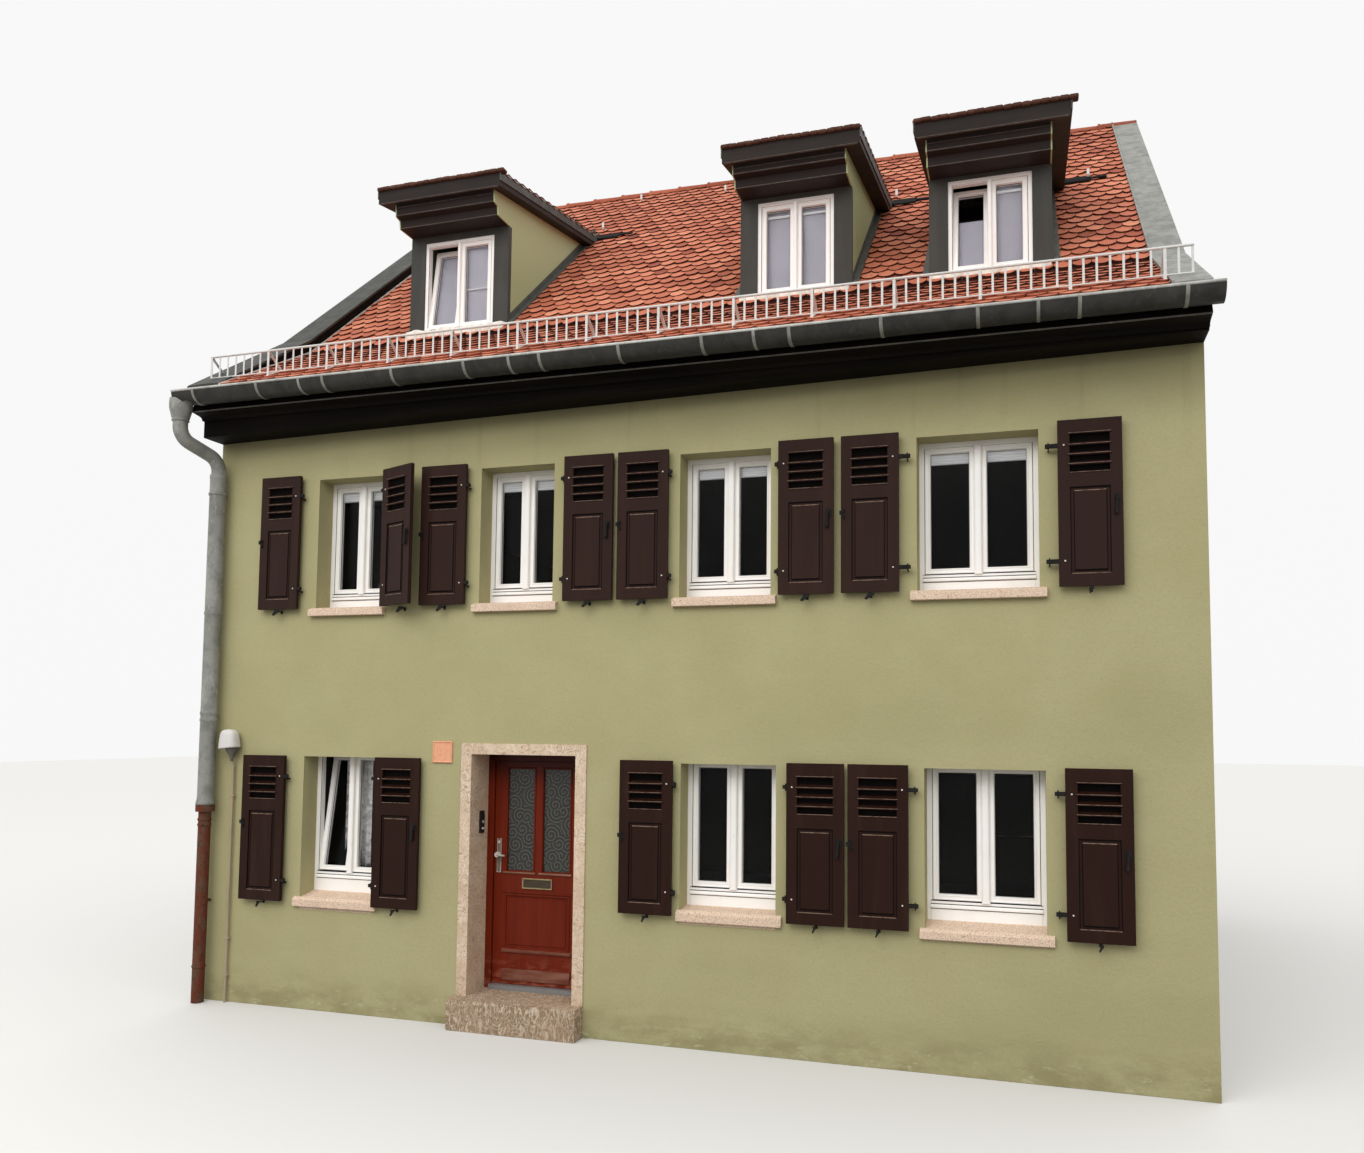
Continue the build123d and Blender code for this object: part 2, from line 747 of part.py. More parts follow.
# Snow guard: one lattice along the eaves on triangular feet
guard_low = roof_top(guard_y) + guard_lift
guard_bars = int((house_width - 2 * guard_end) / guard_pitch)
guard_start = -guard_bars * guard_pitch / 2
with BuildPart() as snow_guard:
    with BuildSketch(street(guard_y + guard_thick / 2)) as lattice:
        rect(guard_start, -guard_start, guard_low, guard_low + guard_foot_rail)
        rect(guard_start, -guard_start, guard_low + guard_height - guard_rail, guard_low + guard_height)
        for index in range(guard_bars + 1):
            x = guard_start + index * guard_pitch
            rect(x - guard_bar / 2, x + guard_bar / 2, guard_low, guard_low + guard_height)
    extrude(lattice.sketch, amount=guard_thick)
    for index in range(0, guard_bars + 1, guard_bay):
        x = guard_start + index * guard_pitch
        toe, heel = guard_y - guard_toe, guard_y + guard_heel
        near = guard_y - guard_thick / 2
        strut = [
            (toe, roof_top(toe)),
            (toe + 2 * guard_strut, roof_top(toe + 2 * guard_strut)),
            (guard_y, guard_low + guard_height - guard_rail),
            (guard_y, guard_low + guard_height),
            (near, guard_low + guard_height),
        ]
        strap = [
            (toe, roof_top(toe)),
            (heel, roof_top(heel)),
            (heel, roof_top(heel) + guard_strut),
            (toe, roof_top(toe) + guard_strut),
        ]
        brace = [
            (heel - 2 * guard_strut, roof_top(heel - 2 * guard_strut)),
            (heel, roof_top(heel)),
            (guard_y, guard_low + guard_height - guard_rail),
            (guard_y, guard_low + guard_height - 2 * guard_rail),
        ]
        for outline in (strut, strap, brace):
            profile(outline, x - guard_bar / 2, x + guard_bar / 2)
snow_guard.part.label = "snow_guard"
export_step(snow_guard.part, "parts/snow_guard.step")

# Door bay
with BuildPart() as door_surround:
    with BuildSketch(street(door_recess)) as gate:
        rect(surround_left, surround_right, step_top, surround_top)
        rect(surround_left + surround_side, surround_right - surround_side, step_top,
             surround_top - surround_head, mode=Mode.SUBTRACT)
    extrude(gate.sketch, amount=door_recess + surround_proud)
door_surround.part.label = "door_surround"
export_step(door_surround.part, "parts/door_surround.step")

with BuildPart() as doorstep:
    block(surround_left, surround_right, -step_reach, wall, 0, step_top)
doorstep.part.label = "doorstep"
export_step(doorstep.part, "parts/doorstep.step")

frame_back = door_recess + door_frame_depth
frame_left = surround_left + surround_side + door_frame_show
frame_right = surround_right - surround_side - door_frame_show
frame_head = surround_top - surround_head - door_frame_show
with BuildPart() as door_frame:
    with BuildSketch(street(frame_back)) as lining:
        rect(surround_left, surround_right, step_top, surround_top)
        rect(frame_left, frame_right, step_top, frame_head, mode=Mode.SUBTRACT)
    extrude(lining.sketch, amount=door_frame_depth)
door_frame.part.label = "door_frame"
export_step(door_frame.part, "parts/door_frame.step")

with BuildPart() as door_threshold:
    block(frame_left, frame_right, door_recess - threshold_reach, frame_back,
          step_top, step_top + threshold_height)
door_threshold.part.label = "door_threshold"
export_step(door_threshold.part, "parts/door_threshold.step")

leaf_left = frame_left + leaf_clear
leaf_right = frame_right - leaf_clear
leaf_foot = step_top + threshold_height + leaf_clear
leaf_head = frame_head - leaf_clear
leaf_front = door_recess + leaf_setback
leaf_back = leaf_front + leaf_thick
leaf_middle = (leaf_left + leaf_right) / 2
leaf_stile = 122.0
leaf_post = 88.0
pane_foot = 1298.0
pane_head = leaf_head - 64.0
door_panel = (620.0, 1080.0)
kick_board = (338.0, 436.0)
kick_lap = 20.0
kick_thick = 9.0
door_pane_thick = 20.0
glazing = [
    (leaf_left + leaf_stile, leaf_middle - leaf_post / 2),
    (leaf_middle + leaf_post / 2, leaf_right - leaf_stile),
]
with BuildPart() as door_leaf:
    with BuildSketch(street(leaf_back)) as leaf:
        rect(leaf_left, leaf_right, leaf_foot, leaf_head)
        for x0, x1 in glazing:
            rect(x0, x1, pane_foot, pane_head, mode=Mode.SUBTRACT)
    extrude(leaf.sketch, amount=leaf_thick)
    with BuildSketch(street(leaf_front + panel_sink)) as sunk:
        rect(leaf_left + leaf_stile, leaf_right - leaf_stile, *door_panel)
    extrude(sunk.sketch, amount=panel_sink, mode=Mode.SUBTRACT)
    with BuildSketch(street(leaf_front + panel_sink)) as field:
        rect(leaf_left + leaf_stile + panel_field, leaf_right - leaf_stile - panel_field,
             door_panel[0] + panel_field, door_panel[1] - panel_field)
    extrude(field.sketch, amount=panel_rise, taper=45)
    block(leaf_left + leaf_stile - kick_lap, leaf_right - leaf_stile + kick_lap,
          leaf_front - kick_thick, leaf_front, *kick_board)
door_leaf.part.label = "door_leaf"
export_step(door_leaf.part, "parts/door_leaf.step")

with BuildPart() as door_glass:
    for x0, x1 in glazing:
        block(x0, x1, leaf_front + leaf_setback, leaf_front + leaf_setback + door_pane_thick,
              pane_foot, pane_head)
door_glass.part.label = "door_glass"
export_step(door_glass.part, "parts/door_glass.step")

# Brass letter plate, handle plate with knob, and hinge knuckles
hinge_heights = (560.0, 1260.0, 1960.0)
knuckle = 70.0
knuckle_skin = 5.0
knuckle_leaf = (60.0, 6.0)
door_pin_y = frame_back + door_pin_radius + knuckle_skin + bracket_gap
door_pin_x = frame_right - leaf_clear / 2
plate_thick = 8.0
letter_half = 143.0
letter_span = (1149.0, 1240.0)
handle_plate = (28.0, 68.0)
handle_span = (1280.0, 1580.0)
knob_height = 1440.0
knob_neck = (11.0, 34.0)
knob_head = (27.0, 18.0)
knob_x = leaf_left + sum(handle_plate) / 2
plate_face = leaf_front - plate_thick
with BuildPart() as door_fittings:
    block(leaf_middle - letter_half, leaf_middle + letter_half, plate_face, leaf_front, *letter_span)
    block(leaf_left + handle_plate[0], leaf_left + handle_plate[1], plate_face, leaf_front, *handle_span)
    with BuildSketch(street(plate_face)) as neck:
        with Locations((knob_x, knob_height)):
            Circle(knob_neck[0])
    extrude(neck.sketch, amount=knob_neck[1])
    with BuildSketch(street(plate_face - knob_neck[1])) as knob:
        with Locations((knob_x, knob_height)):
            Circle(knob_head[0])
    extrude(knob.sketch, amount=knob_head[1], taper=20)
    for z in hinge_heights:
        with Locations((door_pin_x, door_pin_y, z)):
            Cylinder(door_pin_radius + knuckle_skin, knuckle)
        block(leaf_right - knuckle_leaf[0], door_pin_x, leaf_back, leaf_back + knuckle_leaf[1],
              z - knuckle / 2, z + knuckle / 2)
        with Locations((door_pin_x, door_pin_y, z)):
            Cylinder(door_pin_radius + eye_clear, 2 * knuckle, mode=Mode.SUBTRACT)
door_fittings.part.label = "door_fittings"
export_step(door_fittings.part, "parts/door_fittings.step")

# Pins of the door hinges on plates of the frame
with BuildPart() as door_hinge_pins:
    for z in hinge_heights:
        low = z - knuckle / 2 - bracket_gap
        with Locations((door_pin_x, door_pin_y, low)):
            Cylinder(door_pin_radius, knuckle + pin_over,
                     align=(Align.CENTER, Align.CENTER, Align.MIN))
        block(door_pin_x - door_pin_radius, frame_right + knuckle_leaf[0], frame_back,
              door_pin_y + door_pin_radius, low - bracket_height, low)
door_hinge_pins.part.label = "door_hinge_pins"
export_step(door_hinge_pins.part, "parts/door_hinge_pins.step")

# Bell push on the left jamb of the surround
bell_x = surround_left + surround_side
bell_thick = 24.0
bell_depth = (150.0, 206.0)
bell_span = (1640.0, 1835.0)
with BuildPart() as doorbell:
    block(bell_x, bell_x + bell_thick, *bell_depth, *bell_span)
doorbell.part.label = "doorbell"
export_step(doorbell.part, "parts/doorbell.step")

# Vent pipe with its hood
vent_x = -4085.0
vent_radius = 12.0
vent_y = -30.0
vent_top = 2352.0
hood_width = 190.0
hood_depth = 150.0
hood_height = 185.0
hood_shift = 12.0
hood_taper = 6.0
vent_clips = (235.0, 575.0, 1900.0)
with BuildPart() as vent_pipe:
    with Locations((vent_x, vent_y, 0)):
        Cylinder(vent_radius, vent_top, align=(Align.CENTER, Align.CENTER, Align.MIN))
    for z in vent_clips:
        block(vent_x - vent_radius, vent_x + vent_radius, vent_y, 0, z, z + 2 * vent_radius)
    with BuildSketch(Plane.XY.offset(vent_top)) as mouth:
        with Locations((vent_x - hood_shift, -hood_depth / 2)):
            Rectangle(hood_width, hood_depth)
    extrude(mouth.sketch, amount=hood_height, taper=hood_taper)
vent_pipe.part.label = "vent_pipe"
export_step(vent_pipe.part, "parts/vent_pipe.step")


def pin_offset(left_edge, right_edge, width):
    """Distance from a leaf's edge to its pin so that a closed pair meets with its gap."""
    return (right_edge - left_edge - 2 * width - shutter_meet) / 4


def shutter_leaf(x0, x1, low, high, pin_x):
    """Framed leaf with louvres over a raised panel, and two eyes on tangs at its pins."""
    with BuildSketch(street(-shutter_stand)) as leaf:
        rect(x0, x1, low, high)
        rect(x0 + stile, x1 - stile, high - louvre_top - louvre_height, high - louvre_top,
             mode=Mode.SUBTRACT)
    extrude(leaf.sketch, amount=shutter_thick)
    pitch = louvre_height / (slat_count + 1)
    middle = -shutter_stand - shutter_thick / 2
    half = shutter_thick / 2 - slat_thick / 2
    for index in range(1, slat_count + 1):
        z = high - louvre_top - index * pitch
        slat = [
            (middle - half, z - half),
            (middle - half, z - half - slat_thick),
            (middle + half, z + half - slat_thick),
            (middle + half, z + half),
        ]
        profile(slat, x0 + stile, x1 - stile)
    field = (x0 + stile, x1 - stile, low + foot_rail, high - panel_top)
    for face, way in ((-shutter_stand, -1), (-shutter_stand - shutter_thick, 1)):
        bed = face + way * panel_sink
        with BuildSketch(street(bed)) as sunk:
            rect(*field)
        extrude(sunk.sketch, amount=way * panel_sink, mode=Mode.SUBTRACT)
        with BuildSketch(street(bed)) as raised:
            rect(field[0] + panel_field, field[1] - panel_field,
                 field[2] + panel_field, field[3] - panel_field)
        extrude(raised.sketch, amount=way * panel_rise, taper=45)
    edge = x1 if pin_x > x1 else x0
    for z in (low + hinge_inset, high - hinge_inset):
        with Locations((pin_x, pin_y, z)):
            Cylinder(eye_radius, eye_height)
        block(min(edge, pin_x), max(edge, pin_x), pin_y - tang_thick / 2, pin_y + tang_thick / 2,
              z - eye_height / 2, z + eye_height / 2)
        with Locations((pin_x, pin_y, z)):
            Cylinder(pin_radius + eye_clear, 2 * eye_height, mode=Mode.SUBTRACT)


shutter_sets = []
for number, (left_edge, right_edge, width) in enumerate(upper_shutters, 1):
    shutter_sets.append((f"upper_{number}", left_edge, right_edge, width, upper_shutter_span))
for number, (left_edge, right_edge, width) in enumerate(ground_shutters, 1):
    span = low_shutter_span if number == 1 else ground_shutter_span
    shutter_sets.append((f"ground_{number}", left_edge, right_edge, width, span))

for place, left_edge, right_edge, width, (low, high) in shutter_sets:
    offset = pin_offset(left_edge, right_edge, width)
    with BuildPart() as left_leaf:
        shutter_leaf(left_edge - width, left_edge, low, high, left_edge + offset)
    left_leaf.part.label = f"shutter_{place}_left"
    export_step(left_leaf.part, f"parts/shutter_{place}_left.step")

    with BuildPart() as right_leaf:
        shutter_leaf(right_edge, right_edge + width, low, high, right_edge - offset)
    swing = Axis((right_edge - offset, pin_y, 0), (0, 0, 1))
    hung = right_leaf.part.rotate(swing, -ajar if place == "upper_1" else 0)
    hung.label = f"shutter_{place}_right"
    export_step(hung, f"parts/shutter_{place}_right.step")

# Pintles: an arm out of the wall under each eye with its pin standing up through it
with BuildPart() as shutter_pintles:
    for place, left_edge, right_edge, width, (low, high) in shutter_sets:
        offset = pin_offset(left_edge, right_edge, width)
        for x in (left_edge + offset, right_edge - offset):
            for z in (low + hinge_inset, high - hinge_inset):
                seat = z - eye_height / 2 - bracket_gap
                block(x - bracket_half, x + bracket_half, pin_y - pin_radius, 0,
                      seat - bracket_height, seat)
                with Locations((x, pin_y, seat - bracket_height)):
                    Cylinder(pin_radius, bracket_height + bracket_gap + eye_height + pin_over,
                             align=(Align.CENTER, Align.CENTER, Align.MIN))
shutter_pintles.part.label = "shutter_pintles"
export_step(shutter_pintles.part, "parts/shutter_pintles.step")
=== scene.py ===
from collections import namedtuple
from math import cos, pi, radians, sin, tan

import bpy
import numpy as np
from mathutils import Matrix


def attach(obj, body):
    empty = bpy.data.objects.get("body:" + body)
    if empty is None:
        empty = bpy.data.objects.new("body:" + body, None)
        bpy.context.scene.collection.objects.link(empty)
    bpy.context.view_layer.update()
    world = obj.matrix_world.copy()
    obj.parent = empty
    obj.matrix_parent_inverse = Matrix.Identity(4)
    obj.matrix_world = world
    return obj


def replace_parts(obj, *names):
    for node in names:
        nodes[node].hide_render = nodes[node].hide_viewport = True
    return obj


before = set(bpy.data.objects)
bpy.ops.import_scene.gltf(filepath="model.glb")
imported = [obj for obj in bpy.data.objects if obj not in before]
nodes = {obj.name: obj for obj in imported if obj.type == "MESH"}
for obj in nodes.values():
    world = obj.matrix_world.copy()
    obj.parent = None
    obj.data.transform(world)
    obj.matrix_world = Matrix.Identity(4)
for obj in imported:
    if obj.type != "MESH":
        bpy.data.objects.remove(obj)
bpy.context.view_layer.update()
chance = np.random.default_rng(11)

# House, metres: X along the street front, Y into the house, Z up. The rooms begin at ROOM_FROM
HALF = 4.383
DEPTH = 8.828
ROOM_FROM = 0.276
FOOT_PITCH = radians(30.3)
MAIN_PITCH = radians(41.5)
EAVES = np.array([-0.477, 5.708])
BEND = np.array([0.8, 5.708 + 1.277 * tan(FOOT_PITCH)])
RIDGE = np.array([DEPTH / 2, BEND[1] + (DEPTH / 2 - 0.8) * tan(MAIN_PITCH)])

# Tiles: the covering's ends between the verges, its courses on a slope's foot and above the bend
TILES_LEFT, TILES_RIGHT = -4.05, 4.12
FOOT_COURSES, MAIN_COURSES, DORMER_GAUGE = 10, 32, 0.15
TILE_WIDE, TILE_LONG, TILE_THICK, TILE_LIFT, TILE_ROUND = 0.150, 0.275, 0.019, 0.024, 0.062
RIDGE_CAPS, RIDGE_CAP_LAP, RIDGE_CAP_DROP = 22, 0.02, 0.083

# Windows: left arris and width
UPPER = [(-3.249, 0.700), (-1.541, 0.715), (0.334, 0.785), (2.297, 0.917)]
GROUND = [(-3.319, 0.774), (0.365, 0.808), (2.344, 0.893)]
UPPER_SILL, UPPER_HEAD, GARDEN_SILL, GROUND_HEAD = 3.657, 4.892, 0.992, 2.295
REVEAL, SASH, SASH_BACK, SASH_DEPTH, TILT = 0.205, 0.050, 0.014, 0.046, radians(9)

# Stone sills: thickness at the front, rise of the top to the frame, ear past the left arris
Sill = namedtuple("Sill", "left width foot thick rise ear")
SILLS = ([Sill(*place, 3.597, 0.062, 0.012, 0.050) for place in UPPER]
         + [Sill(*GROUND[0], 0.925, 0.068, 0.052, 0.055), Sill(*GROUND[1], 1.014, 0.072, 0.030, 0.022),
            Sill(*GROUND[2], 1.002, 0.062, 0.052, 0.038)])
RIGHT_EAR, UPPER_REACH, GROUND_REACH = 0.050, 0.050, 0.034

# Shutters: open edges, leaf width, foot and head of the leaf
SHUTTERS = {
    "upper_1": (-3.410, -2.505, 0.430, 3.667, 4.925), "upper_2": (-1.655, -0.700, 0.452, 3.667, 4.925),
    "upper_3": (0.249, 1.197, 0.451, 3.667, 4.925), "upper_4": (2.165, 3.349, 0.456, 3.667, 4.925),
    "ground_1": (-3.480, -2.511, 0.458, 0.968, 2.300), "ground_2": (0.313, 1.274, 0.458, 1.060, 2.318),
    "ground_3": (2.228, 3.371, 0.467, 1.060, 2.318),
}
LEAF_FRONT, LEAF_BACK, PIN_Y, MEET, AJAR = -0.075, -0.040, -0.0575, 0.008, radians(22)
STILE, LOUVRE_TOP, LOUVRE_PITCH, HINGE_INSET = 0.086, 0.105, 0.07375, 0.190
PANEL_FOOT, PANEL_HEAD, PANEL_INSET, CATCH_DROP = 0.092, 0.512, 0.026, 0.62

# Dormers: edge is the top of the roof at its eaves, past_left and past_right its reach over the cheeks
Dormer = namedtuple("Dormer", "centre width sill head soffit edge past_left past_right")
DORMERS = [Dormer(-2.390, 1.117, 6.625, 7.560, 7.625, 7.963, 0.135, 0.105),
           Dormer(1.109, 1.047, 6.600, 7.490, 7.530, 7.835, 0.070, 0.135),
           Dormer(2.842, 1.042, 6.600, 7.445, 7.475, 7.795, 0.085, 0.150)]
DORMER_FRONT, DORMER_EAVES, DORMER_POST, DORMER_SETBACK = 0.950, 0.405, 0.165, 0.012
DORMER_PITCH, DORMER_SLAB, SILL_REACH, SILL_INSET = radians(10.5), 0.141, 0.100, 0.015
DORMER_START = DORMER_FRONT - DORMER_EAVES

# Gutter, pipes, snow guard, ladder hooks
GUTTER_Y, GUTTER_RIM, GUTTER_RADIUS = -0.500, 5.662, 0.115
GUTTER_END, GUTTER_SEAMS = HALF + 0.060, (-3.05, -0.98, 1.12, 3.22)
PIPE_X, PIPE_Y, PIPE_RADIUS, PIPE_NECK = -4.322, -0.110, 0.075, 0.066
PIPE_RIBS, PIPE_CLIPS, STANDPIPE_BANDS = (4.790, 3.640, 2.690, 2.625), (4.790, 2.660), (1.690, 1.640, 0.330)
GUARD_Y, GUARD_LOW, GUARD_HEIGHT, GUARD_HALF, GUARD_PITCH = -0.300, 5.8574, 0.223, 4.278, 0.092
VENT_X, VENT_Y, VENT_CLIPS = -4.085, -0.030, (0.247, 0.587, 1.912)
HOOKS = [(-1.772, 3.243), (-1.607, 4.10), (-0.439, 3.98), (1.802, 2.967), (3.560, 4.10), (3.759, 2.793)]

# Door: leaf, panes and panel; letter plate, lock and knob; bell push; number plaque
LEAF_LEFT, LEAF_RIGHT, LEAF_FACE = -1.502, -0.644, 0.325
DOOR_PANES, PANE_FOOT, PANE_HEAD, PANE_FACE = [(-1.380, -1.117), (-1.029, -0.766)], 1.298, 2.210, 0.343
DOOR_PANEL = (-1.380, -0.766, 0.620, 1.080)
LETTER_HALF, LOCK_X, LOCK_Z, KNOB_Z = 0.145, LEAF_LEFT + 0.048, 1.548, 1.440
BELL_X, BELL_Y, BUTTON_Z, LENS_Z = -1.570 + 0.024, 0.178, 1.738, 1.795
PLAQUE = (-1.957, -1.765, 2.263, 2.450)

# Camera at the photograph's viewpoint: place, turns in degrees, lens and shift
CAMERA_PLACE, CAMERA_TURN, CAMERA_RISE, CAMERA_ROLL = (3.1295, -8.3081, 2.5889), 17.0875, 3.8937, 0.5164
CAMERA_LENS, CAMERA_SHIFT = 27.827, (-0.0176, 0.05854)

# Light: the lamp's place, its turn and tip in degrees, its size and watts; the sky's strength
LAMP_PLACE, LAMP_TURN, LAMP_TIP, LAMP_SIZE, LAMP_POWER = (-3, -14, 14.0), -8, 54, (16, 10), 1500
SKY_STRENGTH = 1.45


def paint(red, green, blue):
    """Screen colour from 0 to 255 as the linear colour that a shader takes."""
    c = np.array([red, green, blue]) / 255
    linear = np.where(c <= 0.04045, c / 12.92, ((c + 0.055) / 1.055) ** 2.4)
    return (*linear.tolist(), 1.0)


class Finish:
    """A material put together from layers of colour and relief that follow object coordinates."""

    def __init__(self, name, colour, roughness=0.6, metallic=0.0):
        self.material = bpy.data.materials.new(name)
        self.material.use_nodes = True
        self.tree = self.material.node_tree
        self.shader = self.tree.nodes["Principled BSDF"]
        self.shader.inputs["Base Color"].default_value = paint(*colour)
        self.shader.inputs["Roughness"].default_value = roughness
        self.shader.inputs["Metallic"].default_value = metallic
        self.shader.inputs["Specular IOR Level"].default_value = 0.25
        self.material.diffuse_color = paint(*colour)
        self.place = self.node("ShaderNodeTexCoord").outputs["Object"]
        self.colour = None
        self.normal = None

    def node(self, kind, **settings):
        """New node with its settings."""
        made = self.tree.nodes.new(kind)
        for key, value in settings.items():
            setattr(made, key, value)
        return made

    def join(self, source, target):
        """Link from one node's output to another's input."""
        self.tree.links.new(source, target)

    def number(self, operation, a, b=0.0):
        """One step of arithmetic on sockets or numbers."""
        step = self.node("ShaderNodeMath", operation=operation)
        for slot, value in zip(step.inputs, (a, b)):
            if isinstance(value, (int, float)):
                slot.default_value = value
            else:
                self.join(value, slot)
        return step.outputs[0]

    def times(self, a, b):
        """Product of two masks or numbers."""
        return self.number("MULTIPLY", a, b)

    def stretched(self, scale):
        """Object coordinates multiplied along each axis, for patterns that run one way."""
        mapping = self.node("ShaderNodeMapping")
        mapping.inputs["Scale"].default_value = scale
        self.join(self.place, mapping.inputs["Vector"])
        return mapping.outputs[0]

    def axis(self, index):
        """One object coordinate."""
        split = self.node("ShaderNodeSeparateXYZ")
        self.join(self.place, split.inputs[0])
        return split.outputs[index]

    def noise(self, scale, detail, stretch=None, rough=0.5, warp=0.0):
        """Cloudy pattern around one half."""
        made = self.node("ShaderNodeTexNoise")
        made.inputs["Scale"].default_value = scale
        made.inputs["Detail"].default_value = detail
        made.inputs["Roughness"].default_value = rough
        made.inputs["Distortion"].default_value = warp
        self.join(self.stretched(stretch) if stretch else self.place, made.inputs["Vector"])
        return made.outputs["Fac"]

    def cells(self, scale, feature="F1", stretch=None):
        """Distance in a pattern of cells: from their middles, or from their edges."""
        made = self.node("ShaderNodeTexVoronoi", feature=feature)
        made.inputs["Scale"].default_value = scale
        self.join(self.stretched(stretch) if stretch else self.place, made.inputs["Vector"])
        return made.outputs["Distance"]

    def ribs(self, axis, pitch):
        """Sine of an object coordinate, one wave to each pitch."""
        return self.number("SINE", self.times(self.axis(axis), 2 * pi / pitch))

    def window(self, value, low, high):
        """0 below low, 1 above high, smooth in between."""
        made = self.node("ShaderNodeMapRange", interpolation_type="SMOOTHSTEP")
        self.join(value, made.inputs["Value"])
        made.inputs["From Min"].default_value = low
        made.inputs["From Max"].default_value = high
        return made.outputs["Result"]

    def below(self, full, none):
        """1 up to the height full, 0 above the height none, smooth in between."""
        return self.window(self.times(self.axis(2), -1.0), -none, -full)

    def layer(self, mask, colour, strength=1.0):
        """Lays a colour over what is there, where the mask is light."""
        mix = self.node("ShaderNodeMix", data_type="RGBA")
        self.join(mask if strength == 1.0 else self.times(mask, strength), mix.inputs["Factor"])
        if self.colour is None:
            mix.inputs["A"].default_value = self.shader.inputs["Base Color"].default_value
        else:
            self.join(self.colour, mix.inputs["A"])
        mix.inputs["B"].default_value = paint(*colour)
        self.colour = mix.outputs["Result"]
        self.join(self.colour, self.shader.inputs["Base Color"])

    def patches(self, colour, strength, low, high, scale, detail, **pattern):
        """Lays a colour over the clouds of a noise: nothing where it is below low, all above high."""
        self.layer(self.window(self.noise(scale, detail, **pattern), low, high), colour, strength)

    def relief(self, height, distance, strength):
        """Adds bumps of the height given, in metres, on top of those there."""
        bump = self.node("ShaderNodeBump")
        bump.inputs["Strength"].default_value = strength
        bump.inputs["Distance"].default_value = distance
        self.join(height, bump.inputs["Height"])
        if self.normal is not None:
            self.join(self.normal, bump.inputs["Normal"])
        self.normal = bump.outputs["Normal"]
        self.join(self.normal, self.shader.inputs["Normal"])

    def gloss(self, mask, low, high):
        """Roughness from low where the mask is dark to high where it is light."""
        made = self.node("ShaderNodeMapRange")
        self.join(mask, made.inputs["Value"])
        made.inputs["To Min"].default_value = low
        made.inputs["To Max"].default_value = high
        self.join(made.outputs["Result"], self.shader.inputs["Roughness"])


def set_inputs(finish, **values):
    """Plain numbers or colours on the shader's own sockets."""
    for key, value in values.items():
        finish.shader.inputs[key.replace("_", " ")].default_value = value
    return finish


def inside_mask(finish):
    """1 on the faces turned to the rooms, from the house's own coordinates."""
    y = finish.axis(1)
    x = finish.number("ABSOLUTE", finish.axis(0))
    deep = finish.times(finish.number("GREATER_THAN", y, ROOM_FROM),
                        finish.number("LESS_THAN", y, DEPTH - ROOM_FROM))
    return finish.times(deep, finish.number("LESS_THAN", x, HALF - 0.004))


# Plaster of the rooms, near black: painted shade of the unlit rooms
ROOM_PLASTER_SHADE = (34, 32, 30)


def green_render(name="olive_render", rooms=True):
    """Olive mineral render: trowel drift, fine grain, damp and salt near the ground. With rooms it is a
    wall with runs under the eaves, painted shade that darkens it towards the eaves, and plaster inside
    painted dark as the shade of the unlit rooms. Without them it is a dormer cheek, greener to offset
    the red light that the tiles throw on it, and lighter towards the top."""
    f = Finish(name, (168, 161, 120), 0.93)
    f.patches((176, 170, 130), 0.55, 0.35, 0.68, 1.1, 4, rough=0.6)
    f.patches((157, 151, 110), 0.5, 0.46, 0.72, 0.55, 3, stretch=(1, 1, 1.8))
    f.patches((150, 143, 104), 0.32, 0.46, 0.75, 38, 3, rough=0.7)
    f.patches((188, 182, 146), 0.35, 0.5, 0.8, 120, 2)
    z = f.axis(2)
    wet = f.noise(2.6, 5, stretch=(1, 1, 2.2), rough=0.65)
    damp = f.times(f.below(0.02, 0.42), f.window(wet, 0.34, 0.66))
    f.layer(damp, (138, 131, 92), 0.75)
    salt = f.times(f.below(0.05, 0.30), f.window(f.noise(6, 5, stretch=(1, 1, 3), rough=0.7), 0.56, 0.68))
    f.layer(salt, (196, 190, 156), 0.6)
    if not rooms:
        # Dormer cheek: greener than the wall to offset the red light that the tiles throw on it, and lighter
        # towards the top
        f.layer(f.window(z, 6.0, 6.5), (160, 172, 130), 0.9)
        f.layer(f.window(z, 6.9, 7.9), (184, 190, 150), 0.6)
    else:
        runs = f.times(f.window(f.noise(5.5, 3, stretch=(1, 1, 0.07)), 0.55, 0.75), f.window(z, 4.6, 5.4))
        f.layer(runs, (120, 114, 82), 0.35)
        # Painted shade under the cornice: the wall grows darker and a little mottled towards the eaves
        eaves_shade = f.times(f.window(z, 4.75, 5.46), f.number("ADD", 0.55, f.noise(1.4, 3)))
        f.layer(eaves_shade, (112, 105, 74), 0.45)
        # Painted shade: the faces inside the rooms take the near-black plaster
        f.layer(inside_mask(f), ROOM_PLASTER_SHADE)
    f.relief(f.noise(3.2, 4, stretch=(1, 1, 1.6)), 0.010, 0.35)
    f.relief(f.noise(13, 3, warp=3.5), 0.0032, 0.55)
    f.relief(f.noise(22, 4, rough=0.6, warp=0.6), 0.0035, 0.5)
    f.relief(f.noise(160, 3, rough=0.65), 0.0022, 0.7)
    return f.material


def party_render():
    """Grey cement render of a wall that another house leans on."""
    f = Finish("party_render", (158, 152, 140), 0.95)
    f.patches((140, 134, 122), 0.7, 0.38, 0.66, 0.8, 5, rough=0.6)
    f.patches((172, 167, 156), 0.5, 0.48, 0.72, 9, 4, rough=0.7)
    # Painted shade: the faces inside the rooms take the near-black plaster
    f.layer(inside_mask(f), ROOM_PLASTER_SHADE)
    f.relief(f.noise(2.2, 4), 0.014, 0.4)
    f.relief(f.noise(60, 4, rough=0.7), 0.003, 0.6)
    return f.material


